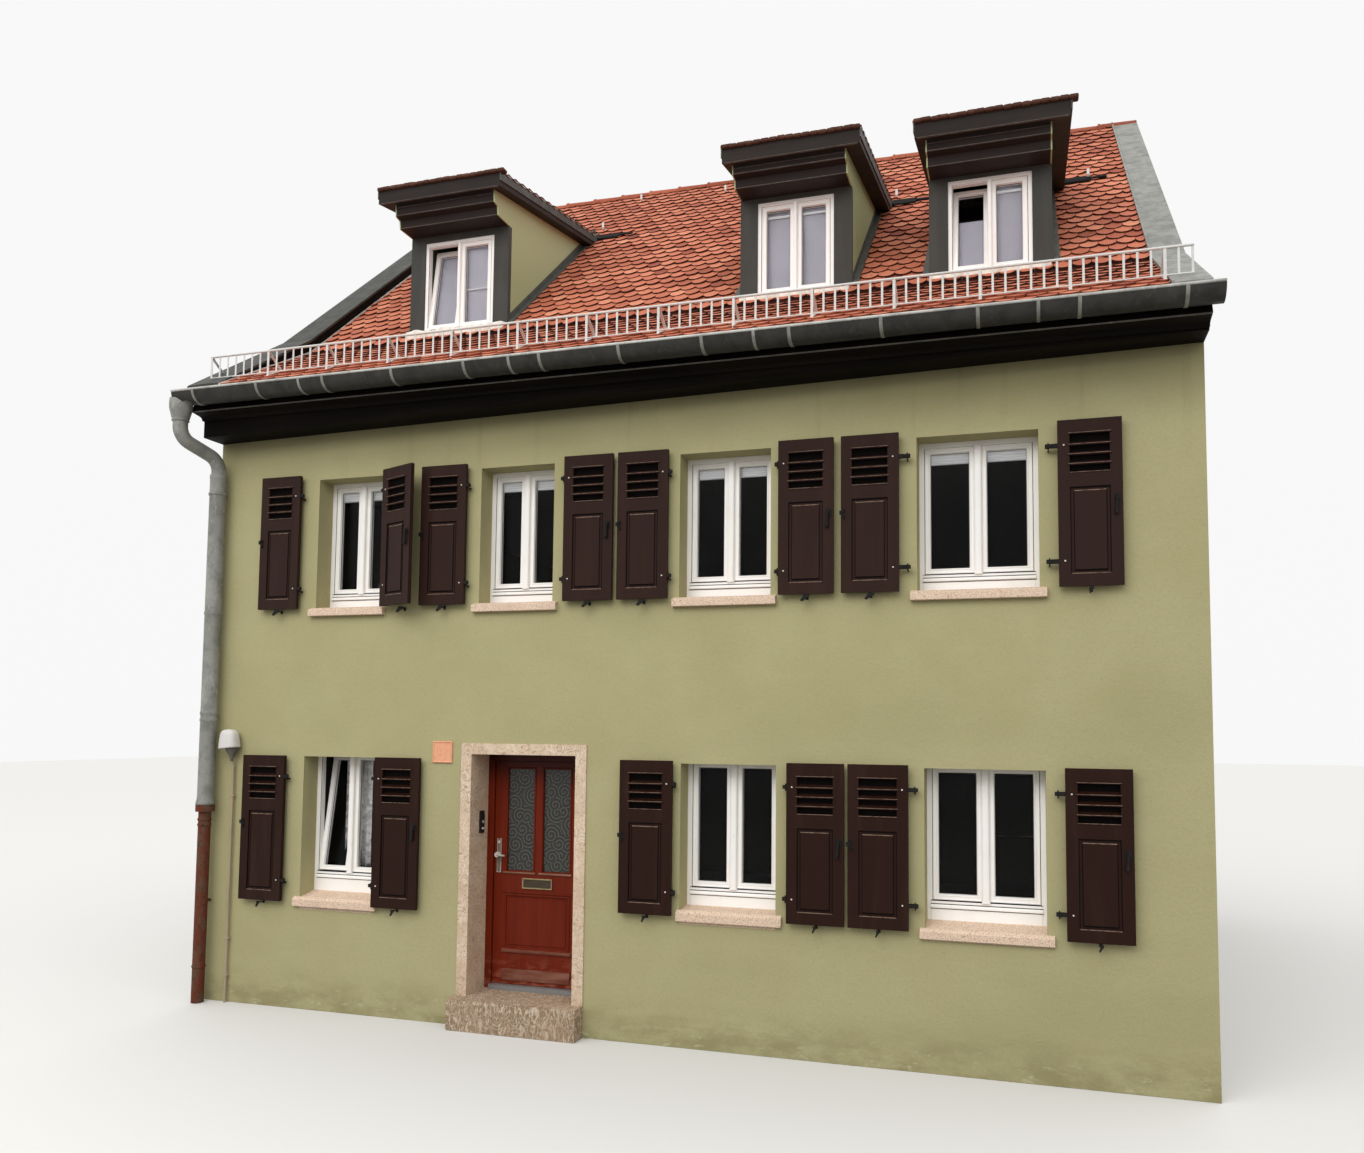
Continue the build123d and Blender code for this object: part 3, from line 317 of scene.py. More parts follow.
def granite():
    """Speckled beige-pink granite, flamed."""
    f = Finish("granite", (222, 196, 172), 0.72)
    f.patches((232, 214, 196), 0.85, 0.52, 0.62, 150, 2, rough=0.7)
    f.patches((142, 114, 92), 0.85, 0.56, 0.62, 120, 2, warp=1.0)
    f.patches((206, 150, 120), 0.7, 0.58, 0.66, 70, 3, rough=0.8)
    f.patches((196, 170, 148), 0.35, 0.5, 0.75, 4, 4)
    f.relief(f.noise(160, 3, rough=0.7), 0.0012, 0.5)
    return f.material


def limestone(name="shell_limestone", ground=(208, 184, 158), foot=0.7):
    """Shell limestone: streaks and curved shell marks in beige and grey, darker near the street."""
    f = Finish(name, ground, 0.6)
    f.patches((226, 208, 186), 0.75, 0.52, 0.60, 24, 3, stretch=(1.0, 1.0, 0.35), warp=2.5)
    f.patches((154, 128, 102), 0.8, 0.56, 0.63, 17, 4, stretch=(0.5, 1.0, 1.0), warp=3.2, rough=0.6)
    f.layer(f.window(f.cells(16, feature="DISTANCE_TO_EDGE"), 0.10, 0.02), (226, 212, 194), 0.3)
    arcs = f.number("SINE", f.times(f.cells(7, stretch=(1.0, 1.0, 0.7)), 46.0))
    shells = f.times(f.window(arcs, 0.55, 0.95), f.window(f.noise(5, 3), 0.46, 0.60))
    f.layer(shells, (228, 210, 188), 0.55)
    hollows = f.times(f.window(arcs, -0.60, -0.95), f.window(f.noise(4, 3), 0.48, 0.62))
    f.layer(hollows, (150, 124, 100), 0.5)
    f.patches((182, 152, 126), 0.45, 0.42, 0.72, 3.2, 4)
    low = f.times(f.below(0.05, 0.55), f.noise(5, 4))
    f.layer(low, (122, 104, 84), foot)
    f.relief(f.noise(45, 4, warp=1.5), 0.0012, 0.4)
    return f.material


def clay_tile():
    """Red plain tile: a tone for each tile, fired flecks, soot and lichen. The rim, which the tiles carry
    as a mark, is painted dark as the shade under each tile's foot, and darker above the first courses."""
    f = Finish("clay_tile", (208, 128, 100), 0.78)
    tone = f.node("ShaderNodeAttribute", attribute_name="tone").outputs["Fac"]
    ramp = f.node("ShaderNodeValToRGB")
    f.join(tone, ramp.inputs[0])
    stops = ramp.color_ramp.elements
    stops[0].position, stops[0].color = 0.0, paint(116, 50, 34)
    stops[1].position, stops[1].color = 1.0, paint(214, 140, 108)
    for position, colour in ((0.22, (160, 82, 58)), (0.55, (190, 108, 80)), (0.82, (204, 124, 94))):
        stops.new(position).color = paint(*colour)
    f.colour = ramp.outputs[0]
    f.patches((206, 146, 118), 0.40, 0.50, 0.72, 60, 4, rough=0.7)
    f.patches((104, 46, 32), 0.65, 0.54, 0.70, 24, 5, rough=0.7)
    f.patches((140, 74, 56), 0.40, 0.50, 0.74, 1.3, 5, rough=0.6)
    f.patches((60, 46, 36), 0.5, 0.68, 0.74, 75, 2)
    # Painted shade: each tile's rim is darkened as the shadow under its foot, more above the first courses
    rim = f.node("ShaderNodeAttribute", attribute_name="rim").outputs["Fac"]
    dark = f.number("ADD", f.times(f.window(f.axis(2), 5.95, 6.10), 0.45), 0.50)
    f.layer(f.times(rim, dark), (44, 18, 11))
    f.relief(f.noise(120, 3, rough=0.7), 0.0012, 0.5)
    return f.material


def boarding_under_tiles():
    """The dark bed that shows in the joints between tiles and at the cut edges of the roof."""
    f = Finish("tile_bed", (58, 30, 24), 0.9)
    f.patches((38, 24, 20), 0.8, 0.45, 0.7, 14, 4)
    f.relief(f.noise(50, 3), 0.003, 0.5)
    return f.material


def screed():
    """Floor screed, painted dark in the rooms as their shade, and pale in the attic."""
    # Dark base colour: painted shade of the unlit rooms
    f = Finish("screed", (50, 48, 45), 0.85)
    f.patches((38, 36, 34), 0.7, 0.4, 0.7, 2.4, 5)
    f.layer(f.window(f.axis(2), 4.9, 5.0), (158, 153, 146))
    f.relief(f.noise(40, 4), 0.002, 0.5)
    return f.material


def painted_timber(name, colour, light, roughness=0.5, wear=0.35, along=(1, 1, 14), shine=0.35):
    """Opaque paint on timber: brush grain along the board, rubbed lighter in places, fine pores."""
    f = set_inputs(Finish(name, colour, roughness), Specular_IOR_Level=shine)
    f.patches(light, wear, 0.42, 0.72, 9, 4, stretch=along, rough=0.6)
    f.patches(light, wear * 0.7, 0.5, 0.8, 1.7, 4)
    f.gloss(f.noise(12, 3, stretch=along), roughness - 0.08, roughness + 0.14)
    f.relief(f.noise(34, 4, stretch=along, rough=0.65), 0.0012, 0.45)
    return f.material


def weathered_zinc(name="weathered_zinc", colour=(146, 146, 140), dark=(112, 112, 108), pale=(172, 172, 166)):
    """Zinc sheet gone matt: cloudy grey with paler runs and spots."""
    f = Finish(name, colour, 0.5, 0.2)
    f.patches(dark, 0.7, 0.40, 0.66, 7, 5, rough=0.65)
    f.patches(pale, 0.65, 0.56, 0.70, 16, 4, stretch=(1, 1, 0.35), rough=0.7)
    f.patches(pale, 0.4, 0.60, 0.72, 70, 3)
    f.gloss(f.noise(9, 4), 0.38, 0.68)
    f.relief(f.noise(5, 3), 0.002, 0.25)
    return f.material


def galvanised():
    """Bright galvanised steel with faint spangle."""
    f = Finish("galvanised_steel", (218, 217, 213), 0.45, 0.15)
    f.layer(f.window(f.cells(60), 0.2, 0.6), (200, 200, 196), 0.5)
    f.patches((190, 188, 183), 0.4, 0.54, 0.7, 12, 4)
    f.gloss(f.cells(60), 0.32, 0.5)
    return f.material


def white_profile():
    """White window profile, a little grey in its corners."""
    f = Finish("white_profile", (248, 245, 241), 0.34)
    f.patches((238, 233, 227), 0.5, 0.5, 0.78, 3.5, 4)
    f.patches((220, 214, 206), 0.3, 0.62, 0.76, 40, 3, stretch=(1, 1, 0.2))
    f.relief(f.noise(220, 2), 0.0002, 0.2)
    return f.material


def window_pane():
    """Clear double glazing that mirrors the sky a little."""
    f = Finish("window_pane", (236, 236, 238), 0.015)
    set_inputs(f, Transmission_Weight=1.0, IOR=1.15)
    f.gloss(f.noise(3, 3), 0.0, 0.03)
    return f.material


def iron():
    """Black iron, dull and a little grey where it is rubbed."""
    f = Finish("black_iron", (15, 14, 13), 0.55)
    f.patches((36, 34, 32), 0.5, 0.52, 0.72, 90, 3)
    f.relief(f.noise(120, 3), 0.0008, 0.6)
    return f.material


def door_timber():
    """Red-brown varnished hardwood with upright grain, bleached near the sill, and darkened near its head as
    painted shade of the recess.
    """
    f = set_inputs(Finish("door_hardwood", (104, 32, 13), 0.40), Specular_IOR_Level=0.12)
    f.patches((84, 22, 8), 0.45, 0.42, 0.66, 26, 4, stretch=(1, 1, 0.06), rough=0.6, warp=0.4)
    f.patches((114, 42, 20), 0.5, 0.50, 0.72, 6, 4, stretch=(1, 1, 0.12))
    low = f.times(f.below(0.30, 0.62), f.window(f.noise(11, 5, stretch=(1, 1, 2)), 0.42, 0.62))
    f.layer(low, (150, 92, 72), 0.55)
    # Painted shade of the door's recess: darker towards the head
    f.layer(f.window(f.axis(2), 2.02, 2.32), (44, 12, 6), 0.85)
    f.gloss(f.noise(9, 3), 0.26, 0.5)
    f.relief(f.noise(60, 3, stretch=(1, 1, 0.05)), 0.0006, 0.4)
    return f.material


def brass():
    """Dull brass with brown stains."""
    f = Finish("dull_brass", (176, 156, 118), 0.36, 0.85)
    f.patches((124, 104, 74), 0.6, 0.48, 0.7, 40, 4)
    f.gloss(f.noise(60, 3), 0.26, 0.5)
    return f.material


def rusty_pipe():
    """Red-brown paint on an iron pipe, rusting through and flaking."""
    f = Finish("rusty_pipe", (96, 46, 30), 0.72)
    f.patches((88, 68, 50), 0.85, 0.46, 0.60, 9, 5, stretch=(1, 1, 0.4), rough=0.7)
    f.patches((52, 32, 22), 0.8, 0.54, 0.64, 26, 5, rough=0.75)
    f.patches((122, 50, 34), 0.6, 0.60, 0.70, 15, 4)
    f.relief(f.noise(34, 5, rough=0.7), 0.002, 0.6)
    return f.material


def grey_plastic(name, colour, dark):
    """Plastic or its paint, with faint upright runs."""
    f = Finish(name, colour, 0.5)
    f.patches(dark, 0.6, 0.48, 0.72, 8, 4, stretch=(1, 1, 0.3))
    f.relief(f.noise(90, 3), 0.0005, 0.4)
    return f.material


def ornamental_pane():
    """Figured door glass, opaque and dark as the painted shade of the unlit room behind it: a scroll turns
    round the middle of each cell of a loose net, raised and paler. It is the sine of the angle round that
    middle plus 24 times the distance from it."""
    # Dark base colour: painted shade of the unlit room behind the glass
    f = Finish("ornamental_pane", (40, 40, 36), 0.30)
    set_inputs(f, Specular_IOR_Level=0.35)
    net = f.node("ShaderNodeTexVoronoi", voronoi_dimensions="2D")
    net.inputs["Scale"].default_value = 8.0
    turn = f.node("ShaderNodeCombineXYZ")
    f.join(f.axis(0), turn.inputs[0])
    f.join(f.axis(2), turn.inputs[1])
    f.join(turn.outputs[0], net.inputs["Vector"])
    offset = f.node("ShaderNodeVectorMath", operation="SUBTRACT")
    f.join(turn.outputs[0], offset.inputs[0])
    f.join(net.outputs["Position"], offset.inputs[1])
    part = f.node("ShaderNodeSeparateXYZ")
    f.join(offset.outputs[0], part.inputs[0])
    angle = f.number("ARCTAN2", part.outputs[1], part.outputs[0])
    wave = f.number("ADD", f.times(net.outputs["Distance"], 24.0), angle)
    scroll = f.window(f.number("SINE", wave), 0.35, 0.95)
    f.layer(scroll, (92, 92, 86), 0.8)
    f.patches((30, 30, 28), 0.4, 0.5, 0.7, 90, 3)
    f.relief(scroll, 0.0015, 0.8)
    f.relief(f.noise(260, 2), 0.0006, 0.5)
    return f.material


def lace():
    """White net curtain with a loose leaf pattern."""
    f = Finish("lace", (228, 226, 222), 0.85)
    holes = f.times(f.window(f.cells(420), 0.30, 0.55), f.window(f.noise(16, 3), 0.40, 0.60))
    f.join(f.number("SUBTRACT", 1.0, f.times(holes, 0.75)), f.shader.inputs["Alpha"])
    f.patches((246, 245, 242), 0.6, 0.52, 0.62, 22, 3)
    return f.material


FOLD = 0.022


def blind_cloth():
    """White pleated blind: fine level folds, each with a band of painted shade."""
    f = Finish("blind_cloth", (244, 246, 244), 0.8)
    folds = f.ribs(2, FOLD)
    # Painted shade on the folds: a greyer band on each, following the relief
    f.layer(f.window(folds, -0.2, 0.9), (222, 225, 223), 0.7)
    f.relief(folds, 0.002, 0.5)
    return f.material


def fired_plaque():
    """Terracotta plate, a little cloudy."""
    f = Finish("terracotta", (228, 166, 130), 0.6)
    f.patches((212, 146, 112), 0.6, 0.45, 0.68, 26, 4)
    f.relief(f.noise(140, 3), 0.0006, 0.5)
    return f.material


def mortar():
    """Pale lime mortar, uneven."""
    f = Finish("lime_mortar", (232, 224, 212), 0.9)
    f.patches((196, 184, 168), 0.7, 0.42, 0.66, 12, 5, rough=0.65)
    f.relief(f.noise(28, 5), 0.008, 0.7)
    return f.material


def ribbed(name, colour, dark, pitch, axis=2):
    """Metal with fine ribs across one axis, each with a dark band of painted shade."""
    f = Finish(name, colour, 0.4, 0.6)
    ribs = f.ribs(axis, pitch)
    # Painted shade on the ribs: a dark band on each, following the relief
    f.layer(f.window(ribs, -0.3, 0.6), dark, 0.8)
    f.relief(ribs, 0.0015, 0.7)
    return f.material


def roller_cloth():
    """Closed roller blind in pale lavender grey, with a faint weave."""
    f = Finish("roller_cloth", (196, 193, 202), 0.85)
    f.patches((182, 180, 188), 0.7, 0.4, 0.7, 3.0, 3)
    f.patches((170, 168, 176), 0.3, 0.5, 0.7, 300, 2, stretch=(1, 1, 0.2))
    return f.material


def louvre_black():
    """Painted shade: a near-black board for the unlit gap behind the slats."""
    return set_inputs(Finish("louvre_gap_painted_shade", (9, 6, 5), 0.9), Specular_IOR_Level=0.1).material


def edge_highlight_and_dust():
    """Pale brown on the edges that face up: painted highlight, with dust."""
    f = Finish("brown_edge_highlight_and_dust", (128, 106, 90), 0.6)
    f.patches((74, 54, 46), 0.8, 0.42, 0.66, 30, 4, stretch=(1, 1, 3))
    return f.material


def shutter_paint():
    """Dark brown shutter paint, lighter and greyer on the upper storey."""
    f = set_inputs(Finish("shutter_brown", (37, 17, 10), 0.45), Specular_IOR_Level=0.12)
    # Lighter and greyer from 2 m to 3.8 m up
    f.layer(f.window(f.axis(2), 2.0, 3.8), (45, 28, 23))
    f.patches((58, 38, 30), 0.35, 0.46, 0.74, 9, 4, stretch=(1, 1, 0.10), rough=0.6)
    f.patches((76, 58, 50), 0.25, 0.60, 0.72, 70, 3, rough=0.7)
    f.relief(f.noise(70, 3, stretch=(1, 1, 0.08)), 0.0005, 0.4)
    return f.material


# Finishes by the names that the pieces ask for
FINISH = {
    "render": green_render(), "cheek": green_render("cheek_render", rooms=False), "party": party_render(),
    "granite": granite(), "limestone": limestone(),
    "step": limestone("step_limestone", (142, 118, 92), 0.45),
    "tile": clay_tile(), "bed": boarding_under_tiles(), "screed": screed(),
    "cornice": painted_timber("cornice_brown", (10, 7, 5), (30, 22, 19), 0.62, 0.5, (0.08, 1, 1), 0.06),
    "tier": painted_timber("dormer_tier_brown", (34, 25, 22), (48, 38, 34), 0.58, 0.5, (0.08, 1, 1), 0.25),
    "fascia": painted_timber("fascia_brown", (38, 32, 29), (54, 46, 42), 0.6, 0.5, (0.08, 1, 1), 0.25),
    "anthracite": painted_timber("anthracite_boards", (60, 59, 55), (74, 72, 68), 0.6, 0.6, (1, 1, 0.1)),
    "shutter": shutter_paint(), "painted_shade": louvre_black(), "highlight_and_dust": edge_highlight_and_dust(),
    # Dark blind for the garden windows: painted shade that keeps the rooms unlit
    "shade": painted_timber("dark_blind_painted_shade", (40, 39, 40), (48, 47, 48), 0.8),
    "zinc": weathered_zinc(),
    "gutter": weathered_zinc("gutter_zinc", (54, 53, 50), (36, 35, 33), (68, 66, 63)),
    "bead": weathered_zinc("bead_zinc", (206, 204, 198), (160, 158, 152), (232, 230, 226)),
    "rail": weathered_zinc("rail_zinc", (140, 138, 130), (104, 103, 98), (166, 164, 158)),
    "galvanised": galvanised(), "white": white_profile(), "pane": window_pane(), "iron": iron(),
    "door": door_timber(), "brass": brass(), "rust": rusty_pipe(),
    "aluminium": ribbed("sill_aluminium", (196, 197, 198), (128, 129, 130), 0.012, 1),
    "vent": grey_plastic("vent_pipe_paint", (166, 150, 126), (138, 124, 102)),
    "hood": grey_plastic("hood_white", (208, 205, 201), (180, 176, 172)),
    "cone": grey_plastic("hood_cone_grey", (104, 100, 92), (78, 74, 68)),
    "black": grey_plastic("black_plate", (22, 22, 22), (34, 34, 34)),
    "gasket": grey_plastic("gasket_black", (26, 26, 26), (40, 40, 40)),
    "ornament": ornamental_pane(), "lace": lace(), "blind": blind_cloth(), "roller": roller_cloth(),
    "plaque": fired_plaque(), "mortar": mortar(),
    "cap": grey_plastic("screw_cap", (222, 218, 210), (200, 194, 186)),
    "flashing": weathered_zinc("flashing_zinc", (88, 88, 83), (66, 66, 62), (108, 108, 102)),
    "verge": weathered_zinc("verge_zinc", (66, 66, 61), (46, 46, 43), (84, 84, 78)),
    "drip_and_highlight": weathered_zinc("drip_zinc_and_highlight", (96, 92, 86), (70, 67, 62), (126, 122, 116)),
    "board": weathered_zinc("verge_board_grey", (84, 88, 86), (66, 68, 66), (104, 108, 106)),
    # Dark brown of the dormer tile feet: painted shade on the tiles' ends
    "feet": painted_timber("tile_feet_brown", (78, 50, 40), (104, 72, 58), 0.85, 0.6, (1, 1, 1), 0.2),
    "flap": ribbed("letter_flap", (92, 82, 66), (40, 34, 26), 0.010),
    "ledge": painted_timber("weathered_ledge", (120, 80, 60), (168, 134, 110), 0.7, 0.8, (0.1, 1, 1)),
    "kick": painted_timber("weathered_kick_board", (100, 48, 32), (138, 96, 78), 0.65, 0.8, (0.2, 1, 1)),
    "lock": weathered_zinc("lock_plate_grey", (116, 104, 92), (70, 62, 54), (160, 148, 132)),
    "chrome": weathered_zinc("worn_chrome", (190, 186, 176), (130, 124, 112), (222, 220, 214)),
}

# What each node of the house wears, the shutters aside
NODE_FINISH = {
    "front_wall_left": "render", "front_wall_over_door": "render", "front_wall_right": "render",
    "rear_wall": "render", "left_party_wall": "party", "right_party_wall": "party",
    "ground_floor": "screed", "upper_floor": "screed", "attic_floor": "screed",
    "front_roof": "bed", "rear_roof": "bed", "dormer_roofs": "fascia",
    "dormer_fronts": "anthracite", "dormer_cheeks": "cheek", "dormer_cornices": "tier",
    "dormer_sills": "mortar", "dormer_windows": "white", "dormer_window_glass": "pane",
    "front_windows": "white", "front_window_glass": "pane", "rear_windows": "white",
    "rear_window_glass": "pane", "front_sills": "granite", "rear_sills": "granite",
    "front_cornice": "cornice", "rear_cornice": "cornice", "front_gutter": "gutter",
    "rear_gutter": "gutter", "gutter_brackets": "rail", "front_downpipe": "zinc",
    "standpipe": "rust", "snow_guard": "galvanised", "door_surround": "limestone",
    "doorstep": "step", "door_frame": "door", "door_threshold": "aluminium", "door_leaf": "door",
    "door_glass": "ornament", "door_fittings": "chrome", "door_hinge_pins": "iron", "doorbell": "black",
    "vent_pipe": "vent", "shutter_pintles": "iron",
}


def dress():
    """Gives every node of the house its finish."""
    for name, thing in nodes.items():
        key = NODE_FINISH.get(name) or ("shutter" if name.startswith("shutter_") else "bed")
        for slot in thing.material_slots:
            slot.material = FINISH[key]


def grid_quads(rows, columns, ring=False):
    """Quads of a grid of points: each joins a point to its neighbours along both parameters, and with
    ring the last column also meets the first."""
    r = np.arange(rows - 1)[:, None]
    c = np.arange(columns if ring else columns - 1)[None, :]
    d = (c + 1) % columns
    return np.stack([r * columns + c, r * columns + d, (r + 1) * columns + d, (r + 1) * columns + c],
                    -1).reshape(-1, 4)


def outward(points, faces):
    """Turns every face round if the closed shape's signed volume is negative. The volume is the sum of
    the triple products of each face's fan of triangles."""
    volume = 0.0
    for f in faces:
        a = points[f[:, 0]]
        for k in range(1, f.shape[1] - 1):
            volume += np.einsum("ij,ij->", a, np.cross(points[f[:, k]], points[f[:, k + 1]]))
    return [f[:, ::-1] for f in faces] if volume < 0 else faces


def capped(points, rows, columns):
    """Closed tube over a grid of points: its rings one after the other and a flat face on each end."""
    ring = np.arange(columns)[None]
    faces = [grid_quads(rows, columns, True), ring[:, ::-1], (rows - 1) * columns + ring]
    return points, outward(points, faces)


def looped(points, rows, columns):
    """Closed hoop over a grid of points: the last row meets the first, and so does the last column."""
    r, c = np.arange(rows)[:, None], np.arange(columns)[None, :]
    d, s = (c + 1) % columns, (r + 1) % rows
    quads = np.stack([r * columns + c, r * columns + d, s * columns + d, s * columns + c], -1).reshape(-1, 4)
    return points, outward(points, [quads])


def gather(shapes):
    """Several shapes as one list of points and faces."""
    points, faces, start = [], [], 0
    for p, fs in shapes:
        points.append(p)
        faces += [f + start for f in fs]
        start += len(p)
    return np.concatenate(points), faces


def make(name, shapes, finish, body="house", slot=None, smooth=False, **marks):
    """Object from one shape or a list of them, with its finish, riding on its body. Marks are numbers
    for each point that the finish reads by their names."""
    points, faces = gather(shapes) if isinstance(shapes, list) else shapes
    data = bpy.data.meshes.new(name)
    corners = np.concatenate([f.ravel() for f in faces])
    sizes = np.concatenate([np.full(len(f), f.shape[1]) for f in faces])
    starts = np.concatenate([[0], np.cumsum(sizes)[:-1]])
    data.vertices.add(len(points))
    data.vertices.foreach_set("co", np.asarray(points, np.float32).ravel())
    data.loops.add(len(corners))
    data.loops.foreach_set("vertex_index", corners.astype(np.int32))
    data.polygons.add(len(sizes))
    data.polygons.foreach_set("loop_start", starts.astype(np.int32))
    data.polygons.foreach_set("use_smooth", np.full(len(sizes), smooth))
    data.update(calc_edges=True)
    data.validate()
    for key, values in marks.items():
        data.attributes.new(key, "FLOAT", "POINT").data.foreach_set("value", np.asarray(values, np.float32))
    data.materials.append(FINISH[finish])
    piece = bpy.data.objects.new(name, data)
    bpy.context.scene.collection.objects.link(piece)
    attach(piece, body)
    return piece


CORNER = np.array([(i, j, k) for i in (0, 1) for j in (0, 1) for k in (0, 1)])


def block_faces():
    """Faces of a chamfered block over its 24 points, three at each corner: 6 sides, 12 edge strips and
    8 corner triangles, each turned so that it looks away from the block's middle."""
    number = {(*where, a): n * 3 + a for n, where in enumerate(CORNER.tolist()) for a in range(3)}
    quads = []
    for a in range(3):
        b, c = (a + 1) % 3, (a + 2) % 3

        def corner(s, t, u, face):
            where = [0, 0, 0]
            where[a], where[b], where[c] = s, t, u
            return number[(*where, face)]

        for s in (0, 1):
            quads.append([corner(s, t, u, a) for t, u in ((0, 0), (1, 0), (1, 1), (0, 1))])
            quads += [[corner(s, t, 0, a), corner(s, t, 1, a), corner(s, t, 1, b), corner(s, t, 0, b)]
                      for t in (0, 1)]
    triangles = [[number[(*c, a)] for a in range(3)] for c in CORNER.tolist()]
    points = (CORNER[:, None] + (1 - 2 * CORNER)[:, None] * 0.1 * (1 - np.eye(3))).reshape(24, 3) - 0.5
    turned_out = []
    for faces in (np.array(quads), np.array(triangles)):
        p = points[faces]
        away = np.einsum("ij,ij->i", np.cross(p[:, 1] - p[:, 0], p[:, 2] - p[:, 0]), p.mean(1))
        faces[away < 0] = faces[away < 0, ::-1]
        turned_out.append(faces)
    return turned_out


BLOCK_FACES = block_faces()


def blocks(low, high, chamfer=0.002):
    """Chamfered blocks between pairs of corners. Each of a block's 8 corners becomes 3 points, one on
    each face that meets there, moved in from that face's edges by the chamfer."""
    low, high = np.atleast_2d(low).astype(float), np.atleast_2d(high).astype(float)
    cut = np.minimum(chamfer, (high - low) * 0.45)
    at = low[:, None] + CORNER[None] * (high - low)[:, None]
    inward = (1 - 2 * CORNER)[None] * cut[:, None]
    points = (at[:, :, None] + inward[:, :, None] * (1 - np.eye(3))).reshape(-1, 3)
    step = (np.arange(len(low)) * 24)[:, None, None]
    return points, [(f[None] + step).reshape(-1, f.shape[1]) for f in BLOCK_FACES]


def block(x, y, z, chamfer=0.002):
    """One chamfered block from its pairs of places along X, Y and Z."""
    return blocks((x[0], y[0], z[0]), (x[1], y[1], z[1]), chamfer)


def prism(outline, start, end, axis=0):
    """A closed outline carried straight from start to end along an axis, with flat ends. The outline's
    numbers are the two other coordinates in their order."""
    outline = np.asarray(outline, float)
    ends = [np.insert(outline, axis, value, axis=1) for value in (start, end)]
    return capped(np.concatenate(ends), 2, len(outline))


def swept(path, radius, side, sides=16):
    """Round bar or pipe along a path in a plane: each point is the path's point plus the radius there
    times the cosine of the angle along the plane's own normal and the sine along the normal crossed
    with the path's direction."""
    path, side = np.asarray(path, float), np.asarray(side, float)
    along = np.gradient(path, axis=0)
    along /= np.linalg.norm(along, axis=1, keepdims=True)
    across = np.cross(along, side)
    angle = np.arange(sides) * 2 * pi / sides
    radius = np.broadcast_to(radius, len(path))[:, None, None]
    points = (path[:, None] + radius * (np.cos(angle)[None, :, None] * side
                                        + np.sin(angle)[None, :, None] * across[:, None])).reshape(-1, 3)
    return capped(points, len(path), sides)


def level_bar(end, y, z, radius):
    """Round bar along the front, from -end to end."""
    return swept([(x, y, z) for x in (-end, 0, end)], radius, (0, 1, 0), 12)


def turned(radii, heights, centre, sides=24, facing="up"):
    """Round form on a lathe: the radius at each height goes round the centre line, which stands up or
    points to the street; flat faces close both ends."""
    a = np.arange(sides) * 2 * pi / sides
    r, h = np.asarray(radii)[:, None], np.asarray(heights)[:, None]
    points = np.stack([r * np.cos(a), r * np.sin(a), h + 0 * a], -1).reshape(-1, 3)
    if facing == "street":
        points = points[:, [0, 2, 1]] * [1, -1, 1]
    return capped(points + centre, len(radii), sides)


def mitred(x0, x1, z0, z1, profile):
    """A profile carried round a rectangle with mitred corners: each corner's points are the corner plus
    the profile's inset towards the middle, at the profile's depth."""
    profile = np.asarray(profile, float)
    corners = np.array([(x0, z0, 1, 1), (x1, z0, -1, 1), (x1, z1, -1, -1), (x0, z1, 1, -1)], float)
    x = corners[:, None, 0] + corners[:, None, 2] * profile[None, :, 0]
    z = corners[:, None, 1] + corners[:, None, 3] * profile[None, :, 0]
    y = np.broadcast_to(profile[None, :, 1], x.shape)
    return looped(np.stack([x, y, z], -1).reshape(-1, 3), 4, len(profile))


def leaned(shape, y_back, z_foot):
    """A shape turned about a level line at the inner foot of a sash, so that its head leans indoors."""
    points, faces = shape
    y, z = points[:, 1] - y_back, points[:, 2] - z_foot
    out = points.copy()
    out[:, 1] = y_back + y * cos(TILT) + z * sin(TILT)
    out[:, 2] = z_foot - y * sin(TILT) + z * cos(TILT)
    return out, faces


def swung(shape, pin_x, angle):
    """A shape turned about an upright pin."""
    points, faces = shape
    x, y = points[:, 0] - pin_x, points[:, 1] - PIN_Y
    out = points.copy()
    out[:, 0] = pin_x + x * cos(angle) - y * sin(angle)
    out[:, 1] = PIN_Y + x * sin(angle) + y * cos(angle)
    return out, faces


def roof_line(y):
    """Height of the street slope's tile plane at a depth: the higher of the foot's and the main line."""
    return np.maximum(BEND[1] + (y - BEND[0]) * tan(FOOT_PITCH), BEND[1] + (y - BEND[0]) * tan(MAIN_PITCH))


def over_roof(*places):
    """Outline from depths and heights over the tile plane there."""
    return [(y, roof_line(y) + up) for y, up in places]


def one_tile():
    """Plain tile with a rounded foot. Across a from -1 to 1 and along t from 0 at the foot to 1 at the
    head: x is a times half the width. The distance s up the slope is t times the length, plus the
    round's rise times the 2.2th power of a at the foot. The height h falls from the lift to nothing at
    the head, plus a camber of 1.5 mm. A skirt one tile thick, marked as rim, closes foot and sides."""
    a = np.linspace(-1, 1, 9)
    grid_a, grid_t = np.meshgrid(a, np.array([0.0, 1.0]))
    x = grid_a * TILE_WIDE / 2 * 0.965
    s = grid_t * TILE_LONG + (1 - grid_t) * TILE_ROUND * np.abs(grid_a) ** 2.2
    h = TILE_LIFT * (1 - grid_t) + 0.0015 * (1 - grid_a ** 2)
    top = np.stack([x, s, h], -1).reshape(-1, 3)
    edge = np.concatenate([[9], np.arange(0, 9), [17]])
    lip = top[edge]
    points = np.concatenate([top, lip, lip - [0, 0, TILE_THICK]])
    here, after = np.arange(10), np.arange(1, 11)
    skirt = np.stack([18 + here, 29 + here, 29 + after, 18 + after], 1)
    return points, [grid_quads(2, 9)[:, ::-1], skirt], np.concatenate([np.zeros(18), np.ones(22)])


